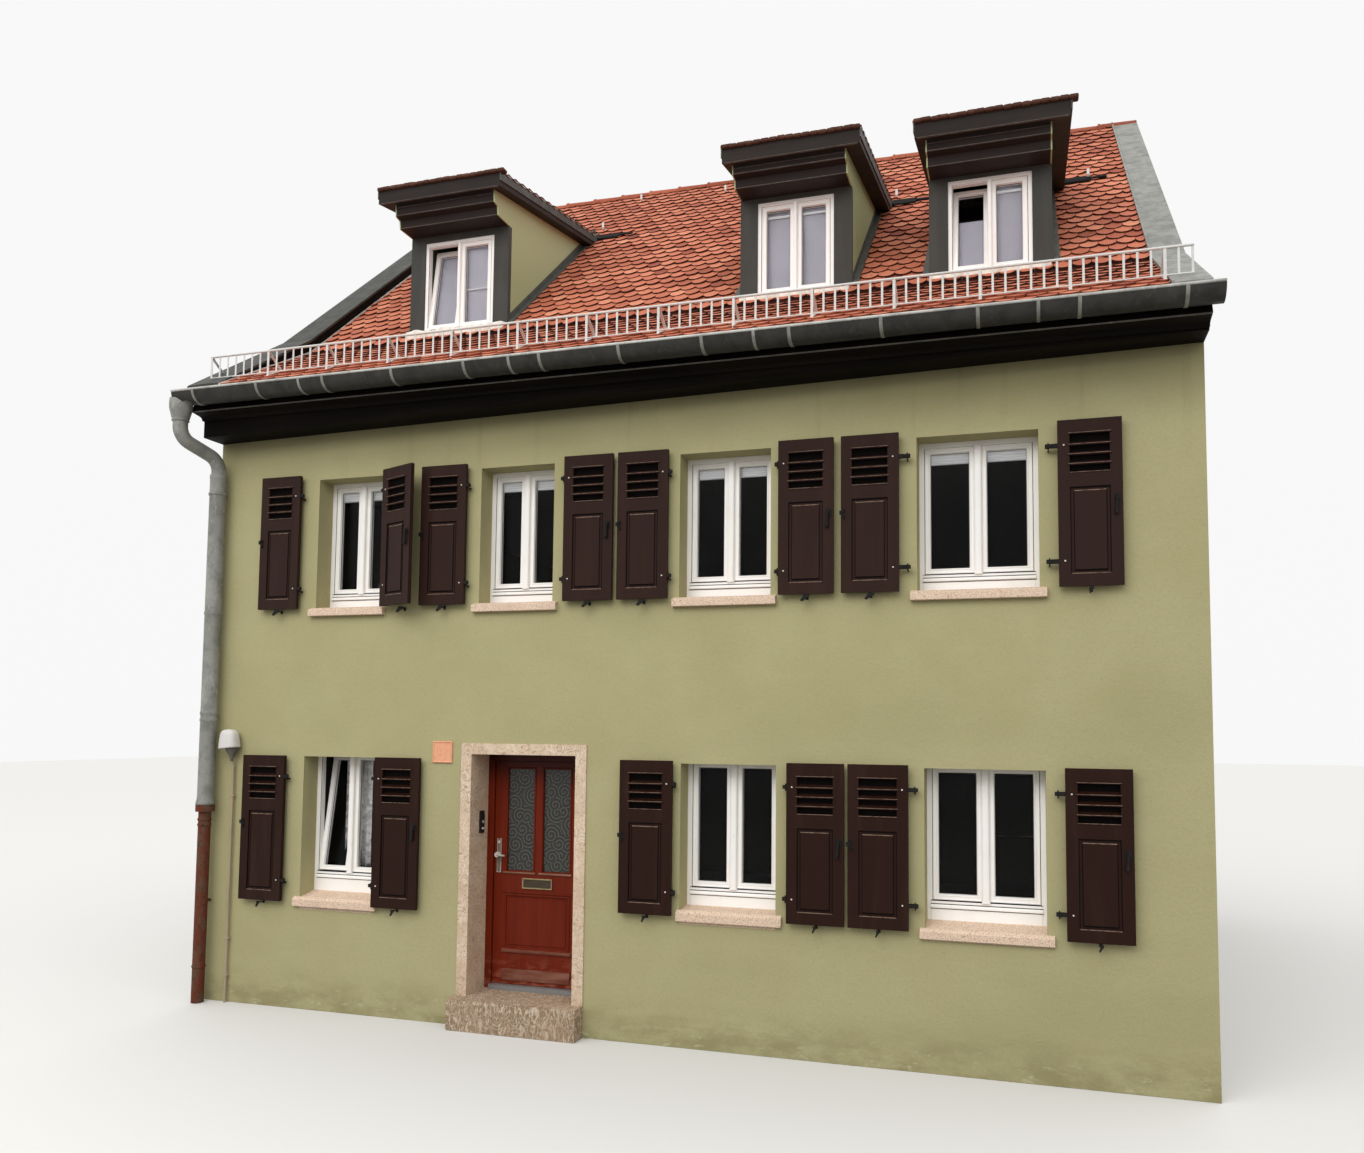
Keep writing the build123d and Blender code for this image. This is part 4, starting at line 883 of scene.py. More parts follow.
def lay_tiles(start, end, x0, x1, rows, keep=None):
    """Courses of tiles between two points of a slope's section, every second course moved by half a
    tile. A tile's place is its course's point on the slope plus its column's place across; the tiles
    at the ends are cut to the verge. Chance tilts, lifts, moves, turns and tones each one a little."""
    points, faces, rim = one_tile()
    start, end = np.asarray(start, float), np.asarray(end, float)
    run = np.linalg.norm(end - start)
    slope = (end - start) / run
    normal = np.array([-slope[1], slope[0]]) * (1 if slope[0] > 0 else -1)
    gauge = run / rows
    columns = int(round((x1 - x0) / TILE_WIDE))
    wide = (x1 - x0) / columns
    course, column = [g.ravel() for g in np.meshgrid(np.arange(rows), np.arange(columns + 1), indexing="ij")]
    x = x0 + (column + 0.5 * (1 - course % 2)) * wide
    foot = start[None] + (course * gauge)[:, None] * slope[None]
    good = (x + wide / 2 > x0 + 0.03) & (x - wide / 2 < x1 - 0.03)
    if keep is not None:
        good &= keep(x, foot[:, 0])
    x, foot, course = x[good], foot[good], course[good]
    n = len(x)
    left, right = np.maximum(x - wide / 2, x0), np.minimum(x + wide / 2, x1)
    middle, size = (left + right) / 2, (right - left) / TILE_WIDE
    room = np.minimum(1.0, (run - course * gauge - 0.01) / TILE_LONG)
    tilt, lift = chance.normal(0, 0.008, n), chance.normal(0, 0.0018, n)
    px = points[None, :, 0] * size[:, None]
    ps = points[None, :, 1] * room[:, None] + chance.normal(0, 0.003, n)[:, None]
    ps = ps + px * chance.normal(0, 0.014, n)[:, None]
    ph = points[None, :, 2] + lift[:, None] + px * tilt[:, None]
    out = np.stack([middle[:, None] + px,
                    foot[:, None, 0] + ps * slope[0] + ph * normal[0],
                    foot[:, None, 1] + ps * slope[1] + ph * normal[1]], -1)
    step = (np.arange(n) * len(points))[:, None, None]
    all_faces = [(f[None] + step).reshape(-1, f.shape[1]) for f in faces]
    if slope[0] < 0:
        all_faces = [f[:, ::-1] for f in all_faces]
    tone = np.repeat(np.clip(chance.normal(0.55, 0.18, n), 0, 1), len(points))
    return out.reshape(-1, 3), all_faces, tone, np.tile(rim, n)


def dormer_meet(edge):
    """Depth where a line rising from the dormer's eaves meets the main slope."""
    return ((edge - tan(DORMER_PITCH) * DORMER_START - BEND[1] + tan(MAIN_PITCH) * BEND[0])
            / (tan(MAIN_PITCH) - tan(DORMER_PITCH)))


def clear_of_dormers(x, y):
    """Keeps a tile unless its foot lies inside a dormer."""
    free = np.ones(len(x), bool)
    for d in DORMERS:
        free &= ~((np.abs(x - d.centre) < d.width / 2 - 0.03) & (y > DORMER_FRONT - 0.02)
                  & (y < dormer_meet(d.edge) - 0.12))
    return free


def tile_field(name, runs):
    """One piece from several runs of tiles."""
    make(name, [(p, f) for p, f, tone, rim in runs], "tile", slot="roof_tile",
         tone=np.concatenate([tone for p, f, tone, rim in runs]),
         rim=np.concatenate([rim for p, f, tone, rim in runs]))


def roof_covering():
    """Tiles of both slopes and of the dormers."""
    across = (TILES_LEFT, TILES_RIGHT)
    tile_field("front_roof_tiles", [lay_tiles(EAVES, BEND, *across, FOOT_COURSES, clear_of_dormers),
                                    lay_tiles(BEND, RIDGE, *across, MAIN_COURSES, clear_of_dormers)])
    far_eaves, far_bend = EAVES * [-1, 1] + [DEPTH, 0], BEND * [-1, 1] + [DEPTH, 0]
    tile_field("rear_roof_tiles", [lay_tiles(far_eaves, far_bend, *across, FOOT_COURSES),
                                   lay_tiles(far_bend, RIDGE, *across, MAIN_COURSES)])
    runs = []
    for d in DORMERS:
        start, meet = np.array([DORMER_START, d.edge]), dormer_meet(d.edge)
        end = np.array([meet, d.edge + (meet - start[0]) * tan(DORMER_PITCH)])
        rows = int(round(np.linalg.norm(end - start) / DORMER_GAUGE))
        runs.append(lay_tiles(start - [0.020, 0.004], end, d.centre - d.width / 2 - d.past_left,
                              d.centre + d.width / 2 + d.past_right, rows))
    tile_field("dormer_roof_tiles", runs)


def ridge_caps():
    """Half-round ridge caps: a cap begins with a thicker lip, then its radius falls a little along its
    length, and each angle from side to side gives a point of its arc."""
    length = 2 * HALF / RIDGE_CAPS
    along = np.array([0.0, 0.0, 0.05, 0.055, 1.0, 1.0])
    radius = np.array([0.090, 0.118, 0.118, 0.110, 0.100, 0.088])
    angle = np.linspace(radians(4), radians(176), 13)
    x = along[:, None] * (length + RIDGE_CAP_LAP) + 0 * angle
    shape = np.stack([x, radius[:, None] * np.cos(angle), radius[:, None] * np.sin(angle)], -1).reshape(-1, 3)
    y = DEPTH / 2 + chance.normal(0, 0.003, RIDGE_CAPS)
    z = RIDGE[1] - RIDGE_CAP_DROP + chance.normal(0, 0.002, RIDGE_CAPS)
    origins = np.stack([-HALF + np.arange(RIDGE_CAPS) * length, y, z], 1)
    origins[-1, 0] -= RIDGE_CAP_LAP
    points = (shape[None] + origins[:, None]).reshape(-1, 3)
    step = (np.arange(RIDGE_CAPS) * len(shape))[:, None, None]
    faces = [(grid_quads(len(along), len(angle))[None] + step).reshape(-1, 4)]
    piece = make("ridge_caps", (points, faces), "tile", slot="roof_tile", smooth=True,
                 tone=np.repeat(chance.uniform(0.1, 0.5, RIDGE_CAPS), len(shape)), rim=np.zeros(len(points)))
    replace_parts(piece, "ridge_tiles")


def over_ridge(low, high):
    """Outline of a strip that follows both slopes from eaves to eaves between two heights above the
    tile plane: the street half's points and the same points mirrored about the ridge. A height that
    is a pair holds at the eaves and from the bend upwards."""
    half = np.array([EAVES + [0.004, 0.002], BEND, RIDGE])
    whole = np.concatenate([half, half[-2::-1] * [-1, 1] + [DEPTH, 0]])

    def lift(height):
        foot, above = np.broadcast_to(height, 2)
        return np.stack([np.zeros(5), [foot, above, above, above, foot]], 1)

    return np.concatenate([whole + lift(high), (whole + lift(low))[::-1]])


def verges():
    """Raised dark verge board with its sheet cap and a pale bead at the left, flat zinc at the right."""
    board, cap = (0.022, 0.135), [(0.020, 0.133), (0.040, 0.160)]
    make("left_verge_board", prism(over_ridge(-0.02, board), -HALF, TILES_LEFT + 0.01), "cornice")
    make("left_verge_cap", [prism(over_ridge(*cap), -HALF, TILES_LEFT + 0.012),
                            prism(over_ridge((0.0, 0.06), (0.034, 0.150)), -HALF - 0.012, -HALF + 0.004)],
         "verge")
    make("left_verge_bead", prism(over_ridge(-0.01, 0.034), TILES_LEFT + 0.008, TILES_LEFT + 0.030), "bead")
    make("right_verge_sheet", [prism(over_ridge(-0.02, 0.030), TILES_RIGHT - 0.005, HALF),
                               prism(over_ridge(0.028, 0.046), TILES_RIGHT - 0.005, TILES_RIGHT + 0.012)],
         "zinc")


def tile_feet(d, x0, x1):
    """Rounded feet of a dormer's first course, and the edges of its tiles along both verges, in the dark
    brown of painted shade.
    """
    feet = np.arange(x0 - 0.008, x1, 0.0745)
    low = np.stack([feet, np.full(len(feet), DORMER_START - 0.030),
                    d.edge - 0.012 + chance.normal(0, 0.002, len(feet))], 1)
    shapes = [blocks(low, low + [0.0755, 0.085, 0.036], 0.009)]
    run = np.arange(DORMER_START, dormer_meet(d.edge) - 0.10, DORMER_GAUGE)
    for x in (x0 - 0.016, x1 - 0.009):
        at = np.stack([np.full(len(run), x), run,
                       d.edge + 0.004 + (run - DORMER_START) * tan(DORMER_PITCH)], 1)
        shapes.append(blocks(at, at + [0.025, 0.16, 0.018], 0.005))
    return shapes


def dormer_trim():
    """Drip strips at the roofs' feet, pale strips of painted highlight along the cornice tiers, tile feet in
    the dark brown of painted shade, verge boards and their caps, lead at the foot of the cheeks, a dark
    saddle behind each dormer that is lead and painted shade, and lumpy mortar sills. What follows the
    dormer's roof rises by its pitch, and what follows the slope takes its height from the tile plane."""
    drips_and_highlights, boards, edges, lead, sills, feet, saddles = [[] for _ in range(7)]
    rise = tan(DORMER_PITCH)
    for d in DORMERS:
        x0, x1 = d.centre - d.width / 2 - d.past_left, d.centre + d.width / 2 + d.past_right
        start, meet = DORMER_START, dormer_meet(d.edge)
        low = d.edge - DORMER_SLAB
        drips_and_highlights.append(block((x0 + 0.02, x1 - 0.02), (start - 0.005, start + 0.020),
                           (low - 0.003, low + 0.003)))
        feet += tile_feet(d, x0, x1)
        c0, c1 = d.centre - d.width / 2 + 0.012, d.centre + d.width / 2 - 0.012
        # Pale strips along the cornice tiers' edges: painted highlight
        for reach, z in ((0.319, low - 0.016), (0.318, d.soffit + 0.099), (0.233, d.soffit + 0.004)):
            y = DORMER_FRONT - reach
            drips_and_highlights.append(block((c0, c1), (y - 0.003, y + 0.020), (z - 0.003, z + 0.003), 0.001))
        side = [(start - 0.004, low + 0.052), (meet - 0.12, low + 0.052 + (meet - 0.12 - start) * rise),
                (meet, d.edge + (meet - start) * rise - 0.004), (start - 0.004, d.edge - 0.004)]
        cap = [(start - 0.006, d.edge - 0.010), (meet, d.edge - 0.010 + (meet - start) * rise),
               (meet, d.edge - 0.003 + (meet - start) * rise), (start - 0.006, d.edge - 0.003)]
        for x, way in ((x0, -1), (x1, 1)):
            boards.append(prism(side, x, x + way * 0.010))
            edges.append(prism(cap, x - way * 0.012, x + way * 0.014))
        y = np.linspace(DORMER_FRONT + 0.010, meet + 0.08, 12)
        z = roof_line(y)
        underside = np.stack([y, z + 0.010], 1)[::-1]
        sheet = np.concatenate([np.stack([y, z + 0.044 + 0.003 * np.sin(y * 31)], 1), underside])
        stand = np.concatenate([np.stack([y, z + 0.105], 1), underside])
        for x, way in ((d.centre - d.width / 2, -1), (d.centre + d.width / 2, 1)):
            lead.append(prism(sheet, x, x + way * 0.060))
            lead.append(prism(stand, x - way * 0.002, x + way * 0.006))
        # Dark saddle behind the dormer: lead in near-black paint, painted shade where the dormer roof meets
        # the slope
        y = meet + 0.03
        saddles.append(prism(over_roof((y, 0.040), (y - 0.14, 0.050), (y - 0.15, 0.036), (y, 0.005)),
                             x1 - 0.10, x1 + 0.26))
        y -= 0.04
        saddles.append(prism(over_roof((y, 0.040), (y - 0.05, 0.048), (y - 0.06, 0.036), (y, 0.005)),
                             x1 + 0.24, x1 + 0.42))
        sills.append(mortar_sill(d))
    make("dormer_drips_and_tier_highlights", drips_and_highlights, "drip_and_highlight")
    make("dormer_tile_feet", feet, "feet")
    make("dormer_verge_boards", boards, "board", slot="anthracite")
    make("dormer_verge_caps", edges, "bead")
    make("dormer_cheek_lead", lead, "flashing")
    make("dormer_saddles", saddles, "cornice")
    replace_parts(make("dormer_mortar_sills", sills, "mortar", smooth=True), "dormer_sills")


def mortar_sill(d):
    """Hand-laid sill: a rounded wedge section carried across the dormer, whose lip and top rise and
    fall by sines of the place across, less at both ends. The section runs from the window down over the
    lip to the roof, and its third number is how much of that heave a point takes."""
    lip = DORMER_FRONT - SILL_REACH
    foot = roof_line(lip)
    section = np.array([(DORMER_FRONT + 0.004, d.sill - 0.001, 0), (DORMER_FRONT - 0.05, d.sill - 0.006, 0.6),
                        (lip + 0.022, d.sill - 0.012, 1), (lip + 0.006, d.sill - 0.024, 1),
                        (lip, d.sill - 0.045, 1), (lip + 0.002, foot + 0.020, 0.6),
                        (lip + 0.004, foot - 0.004, 0.2),
                        (DORMER_FRONT + 0.004, roof_line(DORMER_FRONT) - 0.002, 0)])
    half, rows = (d.width - 2 * SILL_INSET) / 2, 48
    x = np.linspace(d.centre - half, d.centre + half, rows)
    heave = 0.007 * np.sin(x * 21 + d.centre) + 0.004 * np.sin(x * 47 + 2)
    out = 0.009 * np.sin(x * 15 + 1) + 0.005 * np.sin(x * 37)
    ends = np.ones(rows)
    ends[[0, -1]] = 0.3
    y = section[None, :, 0] - (section[None, :, 2] * (out * ends)[:, None]).clip(-0.02, 0.02)
    z = section[None, :, 1] + section[None, :, 2] * (heave * ends)[:, None] - 0.004 * section[None, :, 2]
    points = np.stack([np.broadcast_to(x[:, None], y.shape), y, z], -1).reshape(-1, 3)
    return capped(points, rows, len(section))


def roof_hooks():
    """Ladder hooks: a flat strap that comes out under a tile, lies on the slope and turns up. Its outline
    is that line moved to both sides by half the strap's thickness."""
    lie = np.array([(0.13, 0.112), (0.05, 0.060), (0.0, 0.030), (-0.02, 0.028), (-0.034, 0.044),
                    (-0.034, 0.105)])
    hooks = []
    for x, y in HOOKS:
        line = np.stack([y + lie[:, 0], roof_line(y) + lie[:, 1]], 1)
        way = np.gradient(line, axis=0)
        way /= np.linalg.norm(way, axis=1, keepdims=True)
        off = np.stack([-way[:, 1], way[:, 0]], 1) * 0.003
        hooks.append(prism(np.concatenate([line + off, (line - off)[::-1]]), x - 0.013, x + 0.013))
    make("roof_hooks", hooks, "galvanised", slot="galvanised")


def gutter_trim():
    """Sheet strips over the cornices, rolled front beads and soldered seams of both gutters."""
    beads = [level_bar(GUTTER_END, y, GUTTER_RIM, 0.0115)
             for y in (GUTTER_Y - GUTTER_RADIUS + 0.004, DEPTH - GUTTER_Y + GUTTER_RADIUS - 0.004)]
    seams = []
    for centre in (GUTTER_Y, DEPTH - GUTTER_Y):
        angle = np.linspace(pi, 2 * pi, 17)
        arc = np.stack([np.cos(angle), np.sin(angle)], 1)
        ring = np.concatenate([arc * (GUTTER_RADIUS + 0.0030), (arc * (GUTTER_RADIUS - 0.001))[::-1]])
        seams += [prism(ring + [centre, GUTTER_RIM], x - 0.012, x + 0.012) for x in GUTTER_SEAMS]
    strips = [block((-HALF + 0.002, HALF - 0.002), y, (5.508, 5.517), 0.001)
              for y in ((-0.424, -0.410), (DEPTH + 0.410, DEPTH + 0.424))]
    make("cornice_drip_edges", strips, "drip_and_highlight")
    make("gutter_beads", beads, "bead", slot="zinc", smooth=True)
    make("gutter_seams", seams, "zinc", slot="zinc")


def snow_guard():
    """Snow guard: two rails, upright bars between them, and at every seventh bar a strap with a leaning
    strut behind it and a foot on the slope."""
    top, foot = GUARD_LOW + GUARD_HEIGHT - 0.011, GUARD_LOW + 0.007
    guard = [level_bar(GUARD_HALF + 0.010, GUARD_Y, z, r) for z, r in ((top, 0.0105), (foot, 0.0065))]
    x = np.arange(-GUARD_HALF, GUARD_HALF + 0.01, GUARD_PITCH)
    bars = np.stack([x, np.full(len(x), GUARD_Y), np.full(len(x), foot)], 1)
    guard.append(blocks(bars - [0.0085, 0.003, 0.0], bars + [0.0085, 0.003, top - foot], 0.001))
    down, y, back = roof_line(GUARD_Y), GUARD_Y + 0.17, GUARD_Y + 0.19
    strut = [(GUARD_Y + 0.002, top - 0.010), (GUARD_Y + 0.006, top - 0.002),
             (GUARD_Y + 0.176, roof_line(y) + 0.036), (GUARD_Y + 0.168, roof_line(y) + 0.030)]
    strap = [(GUARD_Y - 0.012, down + 0.018), *over_roof((back, 0.022), (back, 0.028)),
             (GUARD_Y - 0.012, down + 0.026)]
    for at in x[::7]:
        guard.append(block((at - 0.011, at + 0.011), (GUARD_Y - 0.006, GUARD_Y - 0.001),
                           (down + 0.004, top + 0.006), 0.001))
        guard += [prism(outline, at - 0.012, at + 0.012) for outline in (strut, strap)]
    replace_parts(make("snow_guard_bars", guard, "galvanised", slot="galvanised"), "snow_guard")


def rounded(corners, radius, steps):
    """A path through corners in which an arc of the radius takes the place of each inner corner."""
    corners = [np.array(c, float) for c in corners]
    path = [corners[0]]
    for before, here, after in zip(corners, corners[1:], corners[2:]):
        a, b = before - here, after - here
        a, b = a / np.linalg.norm(a), b / np.linalg.norm(b)
        half = np.arccos(np.clip(a @ b, -1, 1)) / 2
        middle = here + (a + b) / np.linalg.norm(a + b) * radius / sin(half)
        ends = [here + v * radius / tan(half) - middle for v in (a, b)]
        turn = np.arccos(np.clip(ends[0] @ ends[1] / radius ** 2, -1, 1))
        t = np.linspace(0, 1, steps)[:, None]
        path += list(middle + (np.sin((1 - t) * turn) * ends[0] + np.sin(t * turn) * ends[1]) / np.sin(turn))
    path.append(corners[-1])
    return np.array(path)


def downpipe():
    """Zinc downpipe: an outlet funnel under the gutter, a neck that bends back to the wall, and the
    upright run with its sockets and ribs, as one round section whose radius changes along its path.
    Clips hold it to the wall, a collar goes round it, and bands go round the standpipe."""
    outlet = PIPE_X - 0.107
    neck = rounded([(outlet, GUTTER_Y, 5.380), (outlet, GUTTER_Y, 5.255), (PIPE_X, PIPE_Y, 5.115),
                    (PIPE_X, PIPE_Y, 4.985)], 0.150, 10)
    funnel = [(5.634, 0.020), (5.630, 0.080), (5.612, 0.101), (5.570, 0.103), (5.520, 0.100), (5.428, 0.077),
              (5.420, 0.073), (5.414, 0.077), (5.405, 0.077), (5.401, PIPE_NECK), (5.385, PIPE_NECK)]
    run = [(4.980, PIPE_NECK), (4.975, 0.077), (4.940, 0.077), (4.935, PIPE_RADIUS - 0.001)]
    for z in PIPE_RIBS:
        run += [(z + 0.018, PIPE_RADIUS - 0.001), (z + 0.010, PIPE_RADIUS + 0.004),
                (z - 0.010, PIPE_RADIUS + 0.004), (z - 0.018, PIPE_RADIUS - 0.001)]
    run += [(1.905, PIPE_RADIUS - 0.001), (1.880, PIPE_RADIUS + 0.001), (1.850, PIPE_RADIUS + 0.009),
            (1.828, PIPE_RADIUS + 0.010)]
    path = np.concatenate([[(outlet, GUTTER_Y, z) for z, r in funnel], neck,
                           [(PIPE_X, PIPE_Y, z) for z, r in run]])
    radii = np.concatenate([[r for z, r in funnel], np.full(len(neck), PIPE_NECK), [r for z, r in run]])
    clips = [block((PIPE_X - 0.013, PIPE_X + 0.013), (PIPE_Y + 0.070, 0.0), (z - 0.013, z + 0.013))
             for z in PIPE_CLIPS]
    z, inner, outer = PIPE_CLIPS[0], PIPE_RADIUS - 0.004, PIPE_RADIUS + 0.007
    collar = turned([inner, outer, outer, inner], [z - 0.014, z - 0.012, z + 0.012, z + 0.014],
                    (PIPE_X, PIPE_Y, 0), 28)
    piece = make("zinc_downpipe", [swept(path, radii, (1, 0, 0), 28), *clips, collar], "zinc", slot="zinc",
                 smooth=True)
    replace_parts(piece, "front_downpipe")
    bands = [turned([0.055, 0.061, 0.063, 0.061, 0.055], [z - 0.012, z - 0.010, z, z + 0.010, z + 0.012],
                    (PIPE_X, PIPE_Y, 0), 28) for z in STANDPIPE_BANDS]
    make("standpipe_bands", bands, "rust", slot="rust_pipe")


def vent_hood():
    """Thin vent pipe with clips, its cone and the white hood. The hood is a loft of rounded rectangles:
    at each height both halves shrink towards the crown by the swell, and the outline is a superellipse."""
    t = np.array([0.0, 0.0, 0.06, 0.25, 0.5, 0.7, 0.84, 0.93, 0.98, 1.0])[:, None]
    swell = np.array([0.90, 1.0, 1.0, 0.965, 0.915, 0.86, 0.78, 0.64, 0.44, 0.12])[:, None]
    sides = 36
    a = np.arange(sides) * 2 * pi / sides
    across, deep = [np.sign(v) * np.abs(v) ** 0.62 for v in (np.cos(a), np.sin(a))]
    x = VENT_X - 0.012 - 0.006 * t + 0.095 * swell * across
    y = -0.080 + 0.072 * swell * deep
    z = 2.362 + 0.175 * t + 0.10 * (x - VENT_X) * (1 - t)
    hood = capped(np.stack([x, y, z], -1).reshape(-1, 3), len(t), sides)
    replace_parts(make("vent_hood", hood, "hood", slot="grey_pipe", smooth=True), "vent_pipe")
    cone = turned([0.060, 0.058, 0.030, 0.0145, 0.0135], [2.372, 2.350, 2.295, 2.262, 2.240],
                  (VENT_X, VENT_Y - 0.030, 0))
    make("vent_hood_cone", cone, "cone", slot="grey_pipe", smooth=True)
    pieces = [swept([(VENT_X, VENT_Y, 0.0), (VENT_X, VENT_Y, 1.2), (VENT_X, VENT_Y, 2.20),
                     (VENT_X, VENT_Y - 0.012, 2.25), (VENT_X, VENT_Y - 0.030, 2.30)], 0.0120, (1, 0, 0), 14)]
    for z in VENT_CLIPS:
        pieces += [turned([0.012, 0.0165, 0.0165, 0.012], [z - 0.009, z - 0.007, z + 0.007, z + 0.009],
                          (VENT_X, VENT_Y, 0), 16),
                   block((VENT_X - 0.024, VENT_X + 0.024), (VENT_Y - 0.005, VENT_Y + 0.010),
                         (z - 0.007, z + 0.007)),
                   block((VENT_X - 0.010, VENT_X + 0.010), (VENT_Y, 0.0), (z - 0.010, z + 0.010))]
    make("vent_tube", pieces, "vent", slot="grey_pipe")


# A window: arris and width, foot of its frame, foot and head of its glass, the frame's front, width of
# the frame's side and of the post between the sashes, and whether the left sash leans indoors
Casement = namedtuple("Casement", "left width bottom low high front side post leaning")
STREET_FRAME, DORMER_FRAME = (REVEAL, 0.040, 0.040), (DORMER_FRONT + DORMER_SETBACK, 0.034, 0.016)
STREET_WINDOWS = ([Casement(*place, UPPER_SILL, 3.877, 4.803, *STREET_FRAME, False) for place in UPPER]
                  + [Casement(*GROUND[0], 1.030, 1.272, 2.259, *STREET_FRAME, True)]
                  + [Casement(*place, 1.092, 1.314, 2.256, *STREET_FRAME, False) for place in GROUND[1:]])
DORMER_WINDOWS = [Casement(d.centre - d.width / 2 + DORMER_POST, d.width - 2 * DORMER_POST, d.sill,
                           d.sill + 0.068, d.head - 0.085, *DORMER_FRAME, n != 1)
                  for n, d in enumerate(DORMERS)]


def sash_fields(w):
    """The two sashes of a window: edges across, and the height from under the glass to over it."""
    middle, low, high = w.left + w.width / 2, w.low - SASH, w.high + SASH
    return [(w.left + w.side, middle - w.post / 2, low, high),
            (middle + w.post / 2, w.left + w.width - w.side, low, high)]


def sash(w, x0, x1, z0, z1):
    """Profile, gasket, pane and the dark joint round it of one sash, carried round its rectangle."""
    face = w.front + SASH_BACK
    back = face + SASH_DEPTH
    white = mitred(x0 + 0.002, x1 - 0.002, z0 + 0.002, z1 - 0.002, [
        (0.0, back), (0.0, face - 0.004), (0.004, face - 0.009), (0.010, face - 0.010), (0.016, face - 0.005),
        (SASH - 0.020, face - 0.004), (SASH - 0.016, face - 0.007), (SASH - 0.008, face - 0.005),
        (SASH - 0.002, face + 0.016), (SASH - 0.002, back)])
    seal = mitred(x0, x1, z0, z1, [(SASH - 0.003, face + 0.022), (SASH - 0.003, face + 0.015),
                                   (SASH + 0.002, face + 0.016), (SASH + 0.002, face + 0.022)])
    edge = SASH - 0.012
    pane = block((x0 + edge, x1 - edge), (face + 0.020, face + 0.036), (z0 + edge, z1 - edge), 0.0005)
    joint = mitred(x0, x1, z0, z1, [(-0.001, face + 0.006), (-0.001, w.front + 0.0055),
                                    (0.004, w.front + 0.0055), (0.004, face + 0.006)])
    return white, seal, pane, joint


def weather_bar(w, front, low):
    """Drip rail on the foot board, the board's two fields and the dark joints above and below the rail."""
    x0, x1, rail = w.left + 0.028, w.left + w.width - 0.028, low - 0.060
    field, depth = (x0 + 0.002, x1 - 0.002), (front - 0.004, front + 0.002)
    white = [prism([(front + 0.004, rail), (front - 0.014, rail + 0.002), (front - 0.018, rail + 0.007),
                    (front - 0.016, rail + 0.020), (front - 0.004, rail + 0.030),
                    (front + 0.004, rail + 0.030)], x0, x1),
             block(field, depth, (w.bottom + 0.004, rail - 0.005), 0.003),
             block(field, depth, (rail + 0.036, low - 0.006), 0.003)]
    black = [block((x0 - 0.002, x1 + 0.002), (front - 0.002, front + 0.003), (z - 0.0028, z + 0.0028), 0.0005)
             for z in (rail - 0.0025, rail + 0.0325)]
    return white, black


def casement(w):
    """White parts, black gaskets and panes of one window between the stone and the head. The fixed
    frame is a profile carried round its rectangle; a rounded strip over the meeting of the sashes and,
    where the foot is high, a drip rail complete it. A leaning sash turns about its foot."""
    front, back = w.front, w.front + SASH_BACK + SASH_DEPTH
    low, high, middle, right = w.low - SASH, w.high + SASH, w.left + w.width / 2, w.left + w.width
    white = [mitred(w.left - 0.003, right + 0.003, w.bottom, high + w.side, [
        (0.0, back + 0.010), (0.0, front + 0.003), (0.004, front), (w.side + 0.001, front),
        (w.side + 0.003, front + 0.003), (w.side + 0.003, front + 0.007), (w.side + 0.010, front + 0.008),
        (w.side + 0.010, back - 0.004), (w.side, back + 0.010)])]
    black, panes = [], []
    for number, (x0, x1, z0, z1) in enumerate(sash_fields(w)):
        profile, seal, pane, joint = sash(w, x0, x1, z0, z1)
        if w.leaning and number == 0:
            profile, seal, pane = [leaned(shape, back, z0) for shape in (profile, seal, pane)]
        white.append(profile)
        black += [seal, joint]
        panes.append(pane)
    a = np.linspace(-1, 1, 13)
    wide = w.post / 2 + 0.011
    dome = 0.020 * np.sqrt(np.clip(1 - np.abs(a) ** 3.2, 0, 1))
    strip = np.concatenate([np.stack([middle + wide * a, front - 0.002 - dome], 1),
                            [(middle + wide * 0.96, front + 0.012), (middle - wide * 0.96, front + 0.012)]])
    post = w.post / 2 - 0.003
    white += [prism(strip, low - 0.006, high, axis=2),
              block((middle - wide - 0.001, middle + wide + 0.001), (front - 0.0225, front),
                    (low - 0.010, low + 0.008), 0.006),
              block((middle - post, middle + post), (front + 0.004, back - 0.002), (low, high)),
              block((w.left + 0.001, right - 0.001), (front + 0.0005, back + 0.008),
                    (w.bottom, low - 0.003), 0.001)]
    if low - w.bottom > 0.09:
        for shapes, more in zip((white, black), weather_bar(w, front, low)):
            shapes.extend(more)
    black.append(block((w.left + 0.026, right - 0.026), (front - 0.0010, front + 0.003),
                       (low - 0.0045, low + 0.001), 0.0005))
    return white, black, panes


